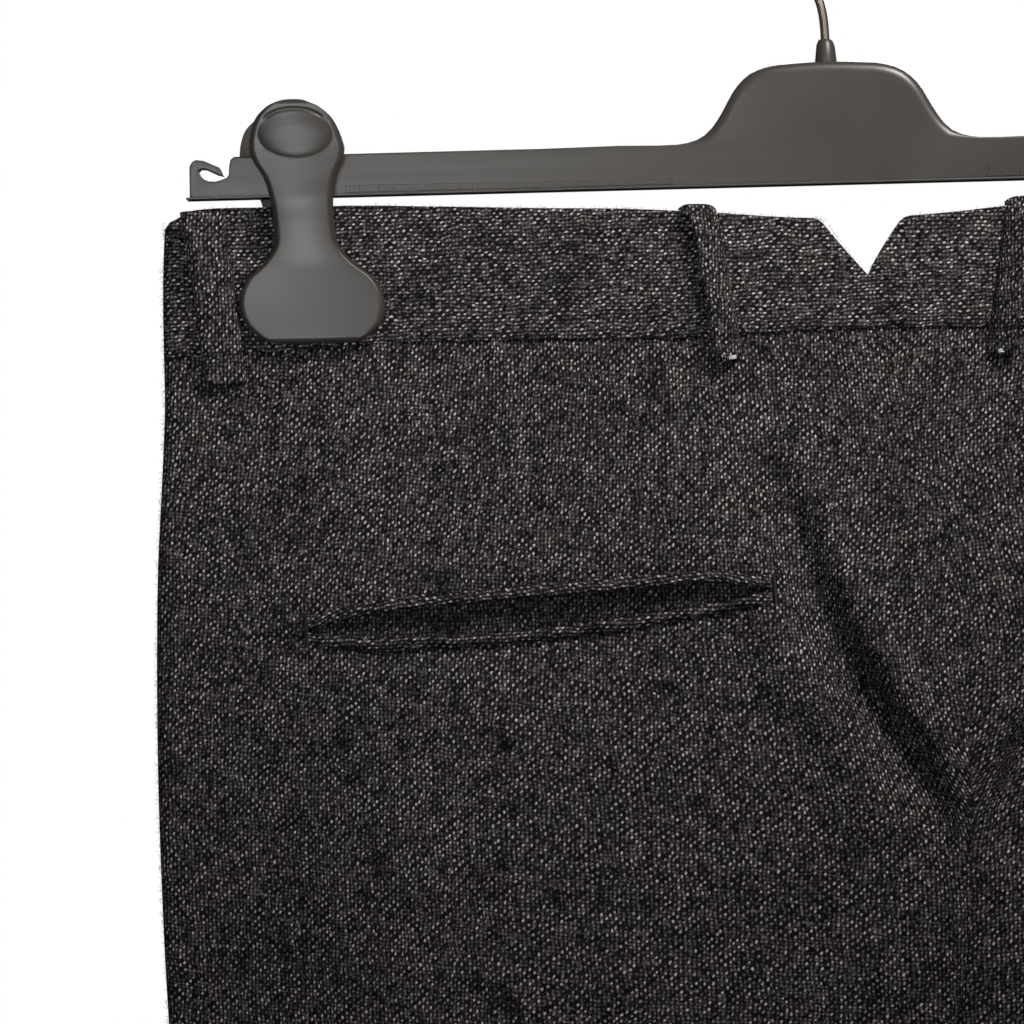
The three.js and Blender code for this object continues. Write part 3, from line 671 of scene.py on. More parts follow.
def spread(side, face, z, u):
    """Where a column lies at a height: a quarter turn round each side, and even steps between."""
    outer, inner = LEVEL[side](z), inner_edge(side, face, z)
    wide = abs(inner - outer)
    edge = FOLD_RADIUS / wide
    quarter = np.clip(np.minimum(u, 1 - u) / SIDE_SHARE, 0, 1) * math.pi / 2
    near = (1 - np.cos(quarter)) * FOLD_RADIUS / wide
    flat = mix(edge, 1 - edge, np.clip((u - SIDE_SHARE) / (1 - 2 * SIDE_SHARE), 0, 1))
    t = np.where(u < SIDE_SHARE, near, np.where(u > 1 - SIDE_SHARE, 1 - near, flat))
    return t, outer, inner


def panel_rows(v):
    """From the flat grid's height to a level: two thirds of the rows lie above the fork."""
    return np.interp(1 - v, (0, 0.66, 0.78, 1), (SEAM_LEVEL, -345, -430, HEM))


def panel(side, hand, face, across, along):
    def place(u, v, sewn=1):
        level = panel_rows(v)
        t, outer, inner = spread(side, face, level, u)
        off = abs(mix(outer, inner, t) - middle(face, level))
        drop = band_seam(face, off) - SEAM_LEVEL
        z = level + drop * (1 - ease(0, EASED, SEAM_LEVEL - level))
        x = mix(LEVEL[side](z), inner_edge(side, face, z), t)
        y = face * reach(side, face, x, z, CLOTH, sewn * sewing(side, face, x, z))
        x = x - side * SEAM_OVERLAP * ease(0.97, 1, u) * (1 - parted(face, z))
        return x, y, z

    def unsewn(u, v):
        return place(u, v, 0)

    def grain(x, y):
        down = np.clip(-185 - y, -60, 95)
        inwards = np.clip(109 - side * (x - SEAT_X), 0, 125)
        lean = LEAN_AT_CLIP * down - LEAN_PER_DOWN * down * abs(down) / 2 - LEAN_PER_IN * inwards * down
        return x - side * np.radians(lean), y - side * ROWS_FALL * (x - SEAT_X)

    name = f"{FACE_NAME[face]}_{hand}"
    piece, area = grid_piece(name + "_panel", across, along, place, TWEED, CLOTH, name, rim=SEAM_EDGE,
                             shear=grain, unsewn=unsewn)
    hung(piece, area, PANEL_WIDE[face], PANEL_LONG)


for side, hand in SIDES:
    panel(side, hand, BACK, 154, 260)
    panel(side, hand, FRONT, 84, 140)
print("panels:", [piece.name for piece in DONE])

# %% [markdown]
# The waistband is a folded strip, cut on the other grain, so its flecks lie level, and its tweed is painted
# a tenth lighter, as painted light on the waist. It stands a little proud of the panels. Over the seat seam
# its top edge is cut down to a small notch, which lets the waist give.
# %% Waistband
BAND_HIGH = 38
BAND_CUT = (205, 42)


def waistband(side, hand, face):
    def place(u, v):
        t, outer, inner = spread(side, face, SEAM_LEVEL, u)
        off = abs(mix(outer, inner, t) - middle(face, SEAM_LEVEL))
        z = mix(band_seam(face, off), band_top(face, (1 - t) * BAND_REACH), v)
        x = mix(LEVEL[side](z), inner_edge(side, face, z), t)
        height = z - band_seam(face, off)
        turned = -0.5 * bell(height, 0.9) - 0.35 * bell(abs(x - middle(face, z)), 1.2)
        pillow = 0.35 * np.sin(np.clip(height / BAND_HIGH, 0, 1) * math.pi)
        ripple = 0.12 * np.sin(off / 6.1 + 1.3 * np.sin(off / 17)) * bell(height - 6, 9)
        y = face * (reach(side, face, x, z, BAND, turned + pillow + ripple) + PROUD)
        return x, y, z

    name = f"waistband_{FACE_NAME[face]}_{hand}"
    piece, area = grid_piece(name + "_cloth", 170, 26, place, TWEED_BAND_PAINTED_LIGHTER, BAND, name, rim=0.35, turned=True)
    hung(piece, area, *BAND_CUT)


for side, hand in SIDES:
    waistband(side, hand, BACK)
    waistband(side, hand, FRONT)

# %% [markdown]
# A belt loop is a narrow strap that bridges the waistband. It comes over the top edge in a small wide bump,
# hangs free down the band with its outer edge standing off, and is turned under and tacked below the seam.
# Its path is a smooth curve of lift off the cloth, and the strap is crowned and rolls under at its edges.
# %% Belt loops
LOOPS = {
    "belt_loop_back": {
        "face": BACK, "upper": 44.6, "lower": 37.5, "half": 4.0,
        "top": -107.2, "end": -151.8, "bump": 1, "stand": 2.2,
    },
    "belt_loop_side": {
        "face": BACK, "upper": 184.2, "lower": 178.4, "half": 6.0,
        "top": -105.2, "end": -154.8, "bump": 0.2, "stand": 0.7,
    },
    "belt_loop_front": {
        "face": FRONT, "upper": 88, "lower": 88, "half": 4.7,
        "top": -112.5, "end": -160, "bump": 1, "stand": 0.8,
    },
}
LOOP_MIDDLE, LOOP_WALL, BAND_MIDDLE = 9.3, 1.5, 12
LOOP_PATH = ((0, -0.2), (0.03, 2.6), (0.08, 4.8), (0.15, 5.4), (0.3, 5.2), (0.6, 5.0), (0.85, 4.6),
             (0.95, 4.3), (0.98, 3.9), (1, 0.8))
BUMP_ENDS, BUMP_HALF, BUMP_SHIFT, EDGE_ROLL = 0.07, 1.4, 1.2, 2.4


def belt_loop(side, hand, name, loop):
    lift_at = smooth_curve(*zip(*LOOP_PATH))
    face = loop["face"]

    def place(u, v):
        t = 1 - v
        z = mix(loop["top"], loop["end"], t)
        s = (u - 0.5) * 2
        bump = loop["bump"] * bell(t, BUMP_ENDS)
        centre = LOOP_MIDDLE + side * (mix(loop["upper"], loop["lower"], t) + BUMP_SHIFT * bump)
        x = centre + s * (loop["half"] + BUMP_HALF * bump) * (1 - 0.12 * ease(0.94, 1, t))
        z = z - 1.3 * s**4 * bump
        below_edge = np.minimum(z, band_top(face, abs(x - BAND_MIDDLE)) - 1)
        under = outside(side, face, centre + 0 * x, below_edge)
        slope = outside(side, face, x, z) - outside(side, face, centre, z)
        lift = lift_at(t) - EDGE_ROLL * s**8 - 0.3 * s * s + loop["stand"] * side * s
        return x, face * (under + np.clip(slope, -2.5, 1) + lift), z

    node = f"{name}_{hand}"
    piece, area = grid_piece(node + "_strap", 14, 60, place, TWEED, LOOP_WALL, node, rim=0.55)
    hung(piece, area, 2 * loop["half"] + 1, loop["top"] - loop["end"] + 6)


for side, hand in SIDES:
    for name, loop in LOOPS.items():
        belt_loop(side, hand, name, loop)

# %% [markdown]
# The pocket mouth is edged by two narrow welts, folded strips whose grain runs along the mouth, their tweed
# painted a little darker as shade. They meet at the ends and the weight of the cloth pulls them apart
# between, so a lens of facing shows, set back and painted much darker as the shade inside the pocket.
# Across a welt the cloth comes out of the seam, rolls over and turns into the pocket.
# %% Pocket welts and facing
WELT_ACROSS = (0, 0.06, 0.2, 0.5, 0.8, 0.95, 1.0, 0.97)
WELT_LIFT = (-1.0, 0.5, 1.5, 2.0, 1.7, 0.8, -0.8, -3.2)
WELT_STEPS = np.linspace(0, 1, len(WELT_ACROSS))


def pocket_place(side, p):
    return POCKET_SEAT + side * (p - POCKET_SHIFT[side])


def base_of_pocket(side, x, z):
    """The back's form at the pocket without the marks of the sewing."""
    return reach(side, BACK, x, z, CLOTH)


def welt(side, hand, which):
    seam, lip = ("top", "upper lip") if which == "upper" else ("bottom", "lower lip")
    gape = 0.5 if which == "upper" else 1.3

    def place(u, v):
        p = mix(POCKET_OFF[0], POCKET_OFF[-1], u)
        x = pocket_place(side, p)
        z = mix(POCKET[seam](p), POCKET[lip](p), np.interp(v, WELT_STEPS, WELT_ACROSS))
        open_here = np.sin(np.clip(u, 0, 1) * math.pi) ** 0.7
        lift = np.interp(v, WELT_STEPS, WELT_LIFT) + gape * open_here * ease(0.1, 0.9, v)
        ends = 1 - 0.75 * (bell(u, 0.02) + bell(u - 1, 0.02))
        ripple = 0.12 * np.sin(p / 3.1 + which.count("u")) * ease(0.1, 0.6, v)
        y = -(base_of_pocket(side, x, z) + lift * ends + ripple)
        return x, y, z

    node = f"pocket_welt_{which}_{hand}"
    piece, area = grid_piece(node + "_roll", 120, 22, place, TWEED_WELT_PAINTED_SHADE, 1.0, node, rim=0.3, turned=True)
    hung(piece, area, 131, 13)


def facing(side, hand):
    def place(u, v):
        p = mix(POCKET_OFF[0] + 1, POCKET_OFF[-1] - 1, u)
        x = pocket_place(side, p)
        z = mix(POCKET["bottom"](p) + 1.6, POCKET["top"](p) - 1.6, v)
        open_here = np.sin(u * math.pi) ** 0.6
        sag = 0.25 * np.sin(p / 9) * open_here
        return x, -(base_of_pocket(side, x, z) - 0.9 - 3.3 * open_here + sag), z

    node = f"pocket_facing_{hand}"
    piece, area = grid_piece(node + "_cloth", 60, 12, place, TWEED_POCKET_PAINTED_SHADE, 1.0, node, rim=0)
    hung(piece, area, 130, 14)


for side, hand in SIDES:
    welt(side, hand, "upper")
    welt(side, hand, "lower")
    facing(side, hand)
print("cloth pieces:", len(DONE))

# %% [markdown]
# On the hidden front the trousers close with a fly: a lap that covers the zip, rounded at its lower end and
# topstitched along its edge, and a button at the waist. They are made plainly, from the same form.
# %% Fly lap and button
FLY_TOP, FLY_END, FLY_WIDE = -172.5, -318, 25
BUTTON_PROFILE = ((0, 0.18), (0.45, 0.16), (0.62, 0.1), (0.72, 0.42), (0.86, 0.5), (0.97, 0.3), (1, 0),
                  (0.94, -0.4), (0, -0.5))
BUTTON_HOLE = 2.2


def fly_width(z):
    t = ease(285, 318, -z)
    return mix(FLY_WIDE, 3, t * t)


def fly_lap():
    def place(u, v):
        z = mix(FLY_END, FLY_TOP, v)
        x = middle(FRONT, z) - 0.3 - fly_width(z) * u
        y = outside(LEFT, FRONT, x, z) - seam_pull(FRONT, abs(x - middle(FRONT, z)), z) * 0.7 + 1.2
        return x, y - 0.5 * bell(u - 1, 0.05), z

    piece, area = grid_piece("fly_lap_cloth", 24, 110, place, TWEED, 1.2, "fly_lap", rim=0.4)
    hung(piece, area, 27, 146)


def spun(profile, wide, high, steps, closed=False):
    """Turns a profile of radii and heights about the vertical. A closed one goes back to its first point."""
    bm = bmesh.new()
    points = [bm.verts.new((r * wide, 0, h * high)) for r, h in profile]
    after = points[1:] + (points[:1] if closed else [])
    edges = [bm.edges.new(pair) for pair in zip(points, after)]
    bmesh.ops.spin(bm, geom=points + edges, cent=(0, 0, 0), axis=(0, 0, 1), angle=2 * math.pi,
                   steps=steps, use_merge=True)
    bmesh.ops.remove_doubles(bm, verts=bm.verts, dist=1e-6)
    bmesh.ops.recalc_face_normals(bm, faces=bm.faces)
    return bm


def add_rod(bm, start, end, radius):
    """A short straight thread between two points."""
    along = end - start
    turn = along.to_track_quat("Z", "Y").to_matrix().to_4x4()
    place = Matrix.Translation((start + end) / 2) @ turn
    bmesh.ops.create_cone(bm, cap_ends=True, segments=6, radius1=radius, radius2=radius,
                          depth=along.length, matrix=place)


def waist_button():
    low, high = (Vector(corner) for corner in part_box("waist_button"))
    centre, radius, thick = (low + high) / 2, (high.x - low.x) / 2, high.y - low.y
    bm = spun(BUTTON_PROFILE, radius, thick, 48)
    turn = Matrix.Translation(centre) @ Matrix.Rotation(-math.pi / 2, 4, "X")
    bmesh.ops.transform(bm, matrix=turn, verts=bm.verts)
    put_in_scene(bm, "waist_button_disc", BUTTON, "waist_button")
    thread = bmesh.new()
    raised = centre + Vector((0, thick * 0.25, 0))
    for slope in (1, -1):
        for step in (-0.35, 0, 0.35):
            ends = [Vector((s * BUTTON_HOLE + step, 0, s * slope * BUTTON_HOLE)) * MM for s in (-1, 1)]
            add_rod(thread, raised + ends[0], raised + ends[1], 0.22 * MM)
    put_in_scene(thread, "waist_button_thread", THREAD, None)


fly_lap()
waist_button()

# %% [markdown]
# Bar tacks lock the ends of a pocket, and a few stitches hold the foot of the back belt loop on each side. A
# tack is a row of short threads laid side by side. The fly has a line of topstitching that turns in at its
# lower end.
# %% Tacks and topstitching
TACK_THREADS, TACK_WIDE, TACK_LIFT, TACK_RADIUS = 23, 1.0, 0.55, 0.15


def on_back(side, x, z, lift):
    y = -(float(outside(side, BACK, np.array([float(x)]), np.array([float(z)]))[0]) + lift)
    return Vector((x, y, z)) * MM


def tack(bm, side, top, bottom):
    for i in range(TACK_THREADS):
        t = i / (TACK_THREADS - 1)
        x, z = mix(top[0], bottom[0], t), mix(top[1], bottom[1], t)
        y = -(float(base_of_pocket(side, np.array([x]), np.array([z]))[0]) + TACK_LIFT)
        ends = [Vector((x + s * TACK_WIDE / 2, y, z + s * 0.15)) * MM for s in (-1, 1)]
        add_rod(bm, ends[0], ends[1], TACK_RADIUS * MM)


stitches = bmesh.new()
for side, hand in SIDES:
    for p, up, down in ((POCKET_OFF[-1] + 0.6, -218.9, -227.4), (POCKET_OFF[0] - 0.6, -211.2, -219.0)):
        x = float(pocket_place(side, p))
        tack(stitches, side, (x, up), (x + 0.3, down))
put_in_scene(stitches, "pocket_bar_tacks", THREAD)

loop_stitches = bmesh.new()
for side, hand in SIDES:
    loop = LOOPS["belt_loop_back"]
    x = LOOP_MIDDLE + side * loop["lower"]
    for k in range(3):
        start = on_back(side, x - 0.6, loop["end"] + 1.0 + 0.34 * k, 4.4)
        end = on_back(side, x + 1.5, loop["end"] + 1.2 + 0.34 * k, 4.4)
        add_rod(loop_stitches, start, end, 0.19 * MM)
put_in_scene(loop_stitches, "belt_loop_stitches", THREAD_PALE)

topstitching = bmesh.new()
z = FLY_TOP - 2
while z > FLY_END + 5:
    points = []
    for step in (0, -2.1):
        at = np.array([z + step])
        x = middle(FRONT, at) - fly_width(at) + 3.2
        y = outside(LEFT, FRONT, x, at) + 1.55
        points.append(Vector((float(x[0]), float(y[0]), z + step)) * MM)
    add_rod(topstitching, points[0], points[1], 0.2 * MM)
    z -= 2.8
put_in_scene(topstitching, "fly_topstitching", THREAD)

# %% [markdown]
# The hanger's bar is a long moulded slab with a smooth face and a thin flange below. It widens to a hump
# under the hook, where its edge is rounded far more, and has an open strap notch at each end. The outline is
# drawn once for the left half and mirrored. Rings of points, each set in a little further, round the edge.
# %% Hanger bar
BAR_MIDDLE, BAR_END, BAR_TOP, BAR_BOTTOM, BAR_FACE = 1.1, 180.4, -90.4, -102.1, 4.2
FLANGE_HALF, FLANGE_HIGH, EDGE_ROUND, HUMP_ROUND = 6.2, 0.5, 0.45, 3.0
NOTCH = ((0.9, -11.7), (1, -2.9), (1.2, -2.0), (1.9, -1.1), (2.9, -0.6), (5, -0.9), (9.3, -2.8),
         (9.9, -3.4), (10.5, -5.2), (8.7, -4.7), (5.6, -3.2), (4.1, -3.1), (3.6, -3.7), (4.2, -5.2),
         (5.2, -6.2), (6.4, -6.7), (8.2, -6.8), (9.8, -6.4), (11.4, -5.8), (12.0, -5.0), (12.2, -2.5),
         (12.6, -0.8), (13.6, 0))
HUMP = ((-80, -90.3), (-58.6, -90), (-48, -90.2), (-42.4, -90.1), (-39.6, -89.7), (-37, -88.9),
        (-34.7, -87.6), (-32.6, -85.6), (-30.9, -83.3), (-29.3, -80.7), (-28, -78.3), (-26.6, -75.9),
        (-25.2, -74), (-23.6, -72.3), (-21.7, -70.8), (-19.3, -69.6), (-16.6, -68.8), (-13.6, -68.3),
        (-5, -67.8), (0, -67.7))
COLLAR_TOP = -61.4
COLLAR_PROFILE = ((1.35, 0), (1.8, 0), (2.1, -0.4), (2.6, -1.6), (2.9, -4.5), (3.1, -6.2), (3.3, -12),
                  (1.35, -12))


def mirrored(outline):
    return list(outline) + [(-x, z) for x, z in reversed(outline) if x != 0]


def rounded_slab(bm, outline, half, rounds, steps=5):
    """A slab whose edges are rounded by a radius of their own at each point of the outline."""
    points = np.array(outline, float)
    way = np.roll(points, -1, 0) - points
    way /= np.linalg.norm(way, axis=1)[:, None]
    square = np.stack([way[:, 1], -way[:, 0]], 1)
    before = np.roll(square, 1, 0)
    inwards = (square + before) / np.maximum(1 + (square * before).sum(1), 0.35)[:, None]
    rounds = np.array(rounds, float)[:, None]
    angles = np.linspace(0, math.pi / 2, steps + 1)
    layers = []
    for face, turn in [(-1, a) for a in angles[::-1]] + [(1, a) for a in angles]:
        ring = points + inwards * rounds * (1 - math.cos(turn))
        deep = face * (half - rounds[:, 0] * 0.6 * (1 - math.sin(turn)))
        layers.append([bm.verts.new((a * MM, y * MM, b * MM)) for (a, b), y in zip(ring, deep)])
    for low, high in zip(layers, layers[1:]):
        for i in range(len(outline)):
            j = (i + 1) % len(outline)
            bm.faces.new((low[i], low[j], high[j], high[i]))
    bm.faces.new(layers[0])
    bm.faces.new(layers[-1])
    bmesh.ops.translate(bm, vec=(BAR_MIDDLE * MM, 0, 0), verts=bm.verts)
    bmesh.ops.recalc_face_normals(bm, faces=bm.faces)


def hanger_bar():
    outline = mirrored([(-BAR_END + x, BAR_TOP + z) for x, z in NOTCH] + list(HUMP))
    on_hump = [float(ease(-90.2, -87, z)) if abs(x) < 60 else 0 for x, z in outline]
    bm = bmesh.new()
    rounded_slab(bm, outline, BAR_FACE, [mix(EDGE_ROUND, HUMP_ROUND, t) for t in on_hump])
    body = put_in_scene(bm, "hanger_bar_body", PLASTIC, "hanger_bar")
    body.data.set_sharp_from_angle(angle=math.radians(35))
    flange = bmesh.new()
    edge, low, high = BAR_END, BAR_BOTTOM, BAR_BOTTOM + FLANGE_HIGH
    rounded_slab(flange, [(-edge, low), (-edge, high), (edge, high), (edge, low)], FLANGE_HALF, [0.2] * 4, 2)
    put_in_scene(flange, "hanger_bar_flange", PLASTIC_BACK, None, smooth=False)
    collar = spun(COLLAR_PROFILE, MM, MM, 40, closed=True)
    bmesh.ops.translate(collar, vec=(BAR_MIDDLE * MM, 0, COLLAR_TOP * MM), verts=collar.verts)
    put_in_scene(collar, "hanger_collar", PLASTIC, None)


hanger_bar()

# %% [markdown]
# Along the lower edge of the face runs a row of small moulded cells, in which the clip can stop. They
# shrink towards the hump, and a thin leaning tick ends the row, a sliver painted near black as the shade in
# a groove.
# %% Cells of the bar
CELL_PITCH, CELL_FIRST, CELL_LAST = 4.62, -136.1, -47.1
CELL_RAISED = 0.18
TICK_X = -44.8


def bar_cells():
    bm = bmesh.new()
    for mirror in (1, -1):
        x = CELL_FIRST
        while x < CELL_LAST:
            share = (x - CELL_FIRST) / (CELL_LAST - CELL_FIRST)
            high = mix(2.0, 1.5, share)
            size = Matrix.Diagonal((CELL_PITCH * 0.88 * MM, 2 * CELL_RAISED * MM, high * MM, 1))
            middle_x = BAR_MIDDLE + mirror * (x + CELL_PITCH / 2)
            place = Matrix.Translation(Vector((middle_x, -BAR_FACE, BAR_BOTTOM + 0.9 + high / 2)) * MM)
            made = bmesh.ops.create_cube(bm, size=1, matrix=place @ size)
            edges = list({e for v in made["verts"] for e in v.link_edges})
            bmesh.ops.bevel(bm, geom=edges, offset=0.1 * MM, segments=1, profile=0.5, affect="EDGES",
                            material=-1)
            x += CELL_PITCH
    put_in_scene(bm, "hanger_bar_cells", PLASTIC, None, smooth=False)
    ticks = bmesh.new()
    size = Matrix.Diagonal((0.22 * MM, 0.2 * MM, 3.2 * MM, 1))
    for mirror in (1, -1):
        place = Matrix.Translation(Vector((BAR_MIDDLE + mirror * TICK_X, -BAR_FACE, BAR_BOTTOM + 2.4)) * MM)
        lean = Matrix.Rotation(math.radians(6 * mirror), 4, "Y")
        bmesh.ops.create_cube(ticks, size=1, matrix=place @ lean @ size)
    put_in_scene(ticks, "hanger_bar_ticks", PLASTIC_PAINTED_GROOVE_SHADE, None, smooth=False)


bar_cells()

# %% [markdown]
# A clip jaw is a thick smooth lever: a round head for the finger, a narrow waist and a wide foot with a
# straight lower edge. A grid takes the outline from a table of half widths, its outside is crowned, and an
# oval pad with a fine groove over it is raised on the head. A second grid makes the flat inside. The jaw in
# front sits a little lower, with its head slipped outwards.
# %% Clip jaws
JAW_DOWN = (0.0, 0.5, 2.2, 6, 13, 17, 22, 28, 35, 41, 46, 50, 56, 62, 66, 67.6, 68.1)
JAW_HALF = (0.6, 3.8, 7.6, 11.2, 13.3, 12.5, 10, 8.8, 8.5, 9.2, 13.0, 17.8, 20.4, 19.3, 15.6, 12.6, 10.6)
JAW_INNER = (11.1, 11, 10.7, 9.8, 8.2, 7.8, 7.4, 7, 5.6, 4.5, 3.8, 3.6, 3.6, 3.6, 3.6, 3.6, 3.6)
JAW_THICK, JAW_TOP, JAW_HEAD, JAW_LEAN, JAW_ROUND = 3.4, -75.1, 148.8, 0.069, 1.6
SLIP, DROP, JAW_LONG, JAW_RIM = 4.3, 2.2, 68, 0.9
PAD = {"down": 9.7, "across": 10.2, "high": 6.7, "raised": 0.9}
JAW_FINE, JAW_COARSE = (72, 160), (44, 90)


def jaw_grid(bm, x, y, z):
    """Adds a sheet of quads from arrays of places in millimetres and gives its rows of points."""
    grid = [[bm.verts.new((a * MM, b * MM, c * MM)) for a, b, c in zip(*row)] for row in zip(x, y, z)]
    for low, high in zip(grid, grid[1:]):
        for i in range(len(low) - 1):
            bm.faces.new((low[i], low[i + 1], high[i + 1], high[i]))
    return grid


def clip_jaw(side, hand, face, material, columns, rows):
    t, u = np.meshgrid(np.linspace(0, 1, rows + 1), np.linspace(-1, 1, columns + 1), indexing="ij")
    down = JAW_DOWN[-1] * (0.25 * (0.5 - 0.5 * np.cos(t * math.pi)) + 0.75 * t)
    s = 0.4 * np.sin(u * math.pi / 2) + 0.6 * u
    half, inner = smooth_curve(JAW_DOWN, JAW_HALF)(down), smooth_curve(JAW_DOWN, JAW_INNER)(down)
    off = 1 if face == FRONT else 0
    x = side * (JAW_HEAD + off * SLIP * (1 - down / JAW_LONG) - JAW_LEAN * down) + s * half
    z = JAW_TOP - off * DROP - down
    from_edge = np.minimum(np.minimum((1 - abs(s)) * half, down), JAW_DOWN[-1] - down)
    crown = np.sqrt(np.maximum(1 - (1 - np.minimum(from_edge / JAW_ROUND, 1)) ** 2, 0))
    lift = JAW_RIM + (JAW_THICK - JAW_RIM) * crown + 0.5 * (1 - s**2) * ease(0, 20, down)
    across, high = s * half / PAD["across"], (down - PAD["down"]) / PAD["high"]
    r = np.hypot(across, high)
    soft = mix(0.5, 1.4, ease(-0.1, 0.8, -high))
    pad = PAD["raised"] * np.maximum(1 - r * r, 0) ** soft
    groove = 0.35 * bell(r - 1.02, 0.05) * ease(0.25, 0.5, -high) * ease(0.85, 0.7, abs(across))
    outer = inner + lift + pad * ease(0, 1, from_edge) - groove
    bm = bmesh.new()
    front, back = jaw_grid(bm, x, face * outer, z), jaw_grid(bm, x, face * inner, z)
    rim = [[g[0], g[-1], [row[0] for row in g], [row[-1] for row in g]] for g in (front, back)]
    for a, b in zip(*rim):
        for i in range(len(a) - 1):
            bm.faces.new((a[i], a[i + 1], b[i + 1], b[i]))
    bmesh.ops.recalc_face_normals(bm, faces=bm.faces)
    node = f"clip_jaw_{FACE_NAME[face]}_{hand}"
    put_in_scene(bm, node + "_lever", material, node)


for side, hand in SIDES:
    clip_jaw(side, hand, BACK, PLASTIC, *JAW_FINE)
    clip_jaw(side, hand, FRONT, PLASTIC_BACK, *JAW_COARSE)

# %% [markdown]
# The hook is one bent wire. A curve with a round bevel follows its middle line: a straight stem, a small
# bend to the left, and an arc over the top that ends on the right in a rounded tip. The springs and the zip
# keep the form of the plain model and only get their finish.
# %% Wire hook
HOOK_WIRE, HOOK_BEND = 1.25, 21.2
STEM = ((1.1, -72), (1.1, -66), (1.1, -59), (0.4, -52), (-1.7, -47), (-6.4, -41.6))
HOOK_TIP = 1.75


def round_curve(name, radius, resolution):
    curve = bpy.data.curves.new(name, "CURVE")
    curve.dimensions, curve.use_fill_caps = "3D", True
    curve.bevel_depth, curve.bevel_resolution = radius * MM, resolution
    return curve


def mesh_of(curve):
    """Turns a curve into a mesh, and takes its object out of the scene again."""
    drawn = bpy.data.objects.new(curve.name, curve)
    bpy.context.collection.objects.link(drawn)
    depsgraph = bpy.context.evaluated_depsgraph_get()
    mesh = bpy.data.meshes.new_from_object(drawn.evaluated_get(depsgraph))
    bpy.data.objects.remove(drawn)
    bm = bmesh.new()
    bm.from_mesh(mesh)
    return bm


def wire_hook():
    centre = 1.2 - HOOK_BEND
    turn = [math.radians(mix(230, -38, i / 24)) for i in range(25)]
    route = [*STEM, *((HOOK_BEND * math.cos(a), centre + HOOK_BEND * math.sin(a)) for a in turn)]
    curve = round_curve("hook", HOOK_WIRE, 4)
    curve.resolution_u = 6
    line = curve.splines.new("NURBS")
    line.points.add(len(route) - 1)
    line.order_u, line.use_endpoint_u = 4, True
    for point, (x, z) in zip(line.points, route):
        point.co = (x * MM, 0, z * MM, 1)
    bm = mesh_of(curve)
    x, z = route[-1]
    bmesh.ops.create_uvsphere(bm, u_segments=20, v_segments=12, radius=HOOK_TIP * MM,
                              matrix=Matrix.Translation((x * MM, 0, z * MM)))
    put_in_scene(bm, "hanger_hook_wire", WIRE, "hanger_hook")


wire_hook()
for node, finish in (("clip_spring_left", WIRE), ("clip_spring_right", WIRE), ("fly_zip", TAPE)):
    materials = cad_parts[node].data.materials
    materials.clear()
    materials.append(finish)

# %% [markdown]
# Wool is hairy. Fine pale hairs lie on the cloth or stand off its edges, which blurs the outline. Each is a
# thin curve of four points, and all of them on one part are joined in one mesh. A fixed seed draws the same
# hairs on every run.
# %% Hairs
HAIRS_ON_BACK = 1400
HAIRS_ON_EDGE = 2400
HAIRS_FROM, HAIRS_DOWN = -108, 300


def hairs(name, roots, thin=0.035, long=(1.2, 4.0), lift=(0.2, 0.8), seed=7):
    draw = random.Random(seed)
    curve = round_curve(name, thin, 0)
    for root, outwards in roots:
        heading = Vector((draw.uniform(-1, 1), 0, draw.uniform(-1, 1))).normalized()
        length, rise = draw.uniform(*long), draw.uniform(*lift)
        bend = Vector((draw.uniform(-1, 1), 0, draw.uniform(-1, 1))) * length * 0.35
        strand = curve.splines.new("POLY")
        strand.points.add(3)
        for point, t in zip(strand.points, (0, 0.33, 0.67, 1)):
            arch = math.sin(t * math.pi * 0.8) * rise
            at = root + (heading * (length * (t - 0.2)) + bend * (t * t) + outwards * (arch + 0.12)) * MM
            point.co = (*at, 1)
    put_in_scene(mesh_of(curve), name, HAIR)


def roots_on_cloth(side, face, count, seed):
    draw = np.random.default_rng(seed)
    z = HAIRS_FROM - HAIRS_DOWN * draw.random(count) ** 1.1
    outer, inner = LEVEL[side](z), inner_edge(side, face, z)
    x = mix(outer, inner, 0.02 + 0.96 * draw.random(count))
    off = abs(x - middle(face, z))
    keep = z < band_top(face, off) - 1
    y = face * outside(side, face, x, z)
    points = np.stack([x, y, z], 1)[keep] * MM
    return [(Vector(p), Vector((0, face, 0))) for p in points]


def roots_on_edges(count, seed):
    draw = np.random.default_rng(seed)
    made = []
    for side in (LEFT, RIGHT):
        off = 196 * draw.random(count // 3)
        x = middle(BACK, -125) + side * off
        z = band_top(BACK, off) - 0.3
        y = -(reach(side, BACK, x, z, BAND) - 0.8)
        made += [(Vector(p) * MM, Vector((0, -0.2, 1))) for p in np.stack([x, y, z], 1)]
        z = HAIRS_FROM - HAIRS_DOWN * draw.random(count // 3)
        x = LEVEL[side](z)
        made += [(Vector((a * MM, -0.8 * MM, b * MM)), Vector((side, 0, 0))) for a, b in zip(x, z)]
    return made


for side, hand in SIDES:
    back_roots = roots_on_cloth(side, BACK, HAIRS_ON_BACK, 11 + side)
    hairs(f"hairs_back_{hand}", back_roots, seed=21 + side)
    front_roots = roots_on_cloth(side, FRONT, HAIRS_ON_BACK // 3, 31 + side)
    hairs(f"hairs_front_{hand}", front_roots, seed=41 + side)
edge_roots = roots_on_edges(HAIRS_ON_EDGE, 5)
hairs("hairs_on_edges", edge_roots, thin=0.03, long=(0.4, 1.2), lift=(0.0, 0.4), seed=3)

# %% [markdown]
# A studio with a pale floor and an even white surround. The key light stands near, high on the right in
# front of the cloth, so it lights the waist more than the seat and each loop and fold throws a soft shadow
# to its lower left, as in the photograph. Of two weak lights at the left, one glides over the satin bar and
# a low one shows the tilted head of the clip. A wide one lights the far side. The surround looks white to
# the camera but lights the cloth only gently.
# %% Light and floor
SURROUND_LIGHT = 0.09
KEY_POWER = 1.15
KEY_PLACE = Vector((0.21, -0.37, 0.26))
KEY_SIZE = 0.20
KEY_SPREAD = math.radians(100)
FLOOR_BELOW = 0.12

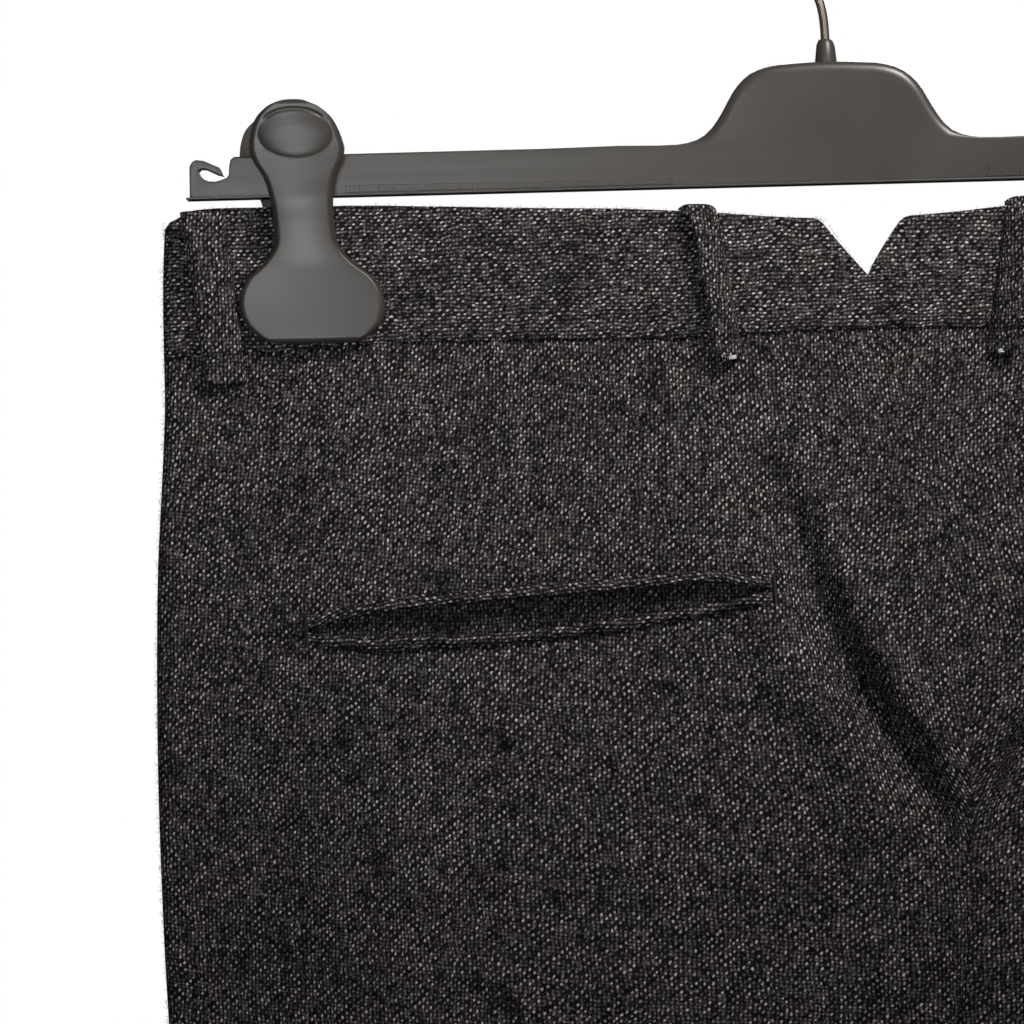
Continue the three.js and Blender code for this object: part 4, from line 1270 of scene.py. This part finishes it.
world = bpy.data.worlds.new("surround")
bpy.context.scene.world = world
world.use_nodes = True
air = Shade(world.node_tree)
seen = air.node("ShaderNodeLightPath")
shown = air.node("ShaderNodeBackground", None, {"Color": (1, 1, 1, 1), "Strength": 1.0})
gentle = air.node("ShaderNodeBackground", None, {"Color": (0.96, 0.97, 1, 1), "Strength": SURROUND_LIGHT})
both = air.node("ShaderNodeMixShader", None, {0: seen, 1: gentle, 2: shown})
world.node_tree.links.new(both.socket, world.node_tree.nodes["World Output"].inputs[0])


def area_light(name, place, power, size, target=Vector((-0.06, 0, -0.2)), tint=(1, 1, 1), spread=math.pi):
    data = bpy.data.lights.new(name, "AREA")
    data.energy, data.size, data.color, data.spread = power, size, tint, spread
    light = bpy.data.objects.new(name, data)
    turn = (target - place).to_track_quat("-Z", "Y").to_matrix().to_4x4()
    light.matrix_world = Matrix.Translation(place) @ turn
    bpy.context.collection.objects.link(light)


area_light("key", KEY_PLACE, KEY_POWER, KEY_SIZE, Vector((0, 0, -0.06)), (1, 0.975, 0.955), KEY_SPREAD)
area_light("glide", Vector((-0.28, -1.10, -0.02)), 0.085, 0.20, Vector((-0.13, 0, -0.07)),
           spread=math.radians(40))
area_light("low", Vector((-0.21, -1.05, -0.40)), 0.12, 0.25, Vector((-0.15, 0, -0.05)),
           spread=math.radians(36))
area_light("behind", Vector((0.4, 2.2, 0.8)), 40.0, 1.2)

floor = bmesh.new()
bmesh.ops.create_grid(floor, x_segments=1, y_segments=1, size=1.6,
                      matrix=Matrix.Translation((0, 0, PLAIN_BOX[0][2] - FLOOR_BELOW)))
floor_mesh = bpy.data.meshes.new("floor")
floor.to_mesh(floor_mesh)
floor.free()
pale, s = start_material("pale floor")
mottle = s.object_place().noise(6.0, 3.0)
finish_material(pale, {"Roughness": 0.7}, {"Base Color": mottle.blend(grey(0.78, 0.01), grey(0.84, 0.01))})
floor_mesh.materials.append(pale)
floor_piece = bpy.data.objects.new("floor", floor_mesh)
bpy.context.collection.objects.link(floor_piece)

scene = bpy.context.scene
scene.view_settings.view_transform = "Standard"
scene.view_settings.look = "None"
scene.view_settings.exposure = 0.0

# %% [markdown]
# The last cell counts the triangles that were made and prints their total and the heaviest piece.
# %% Sizes and close
depsgraph = bpy.context.evaluated_depsgraph_get()
heaviest = {}
for piece in DONE:
    made = piece.evaluated_get(depsgraph).to_mesh()
    made.calc_loop_triangles()
    heaviest[piece.name] = len(made.loop_triangles)
    piece.evaluated_get(depsgraph).to_mesh_clear()
most = max(heaviest.items(), key=lambda item: item[1])
print("triangles added:", sum(heaviest.values()), "most:", most)
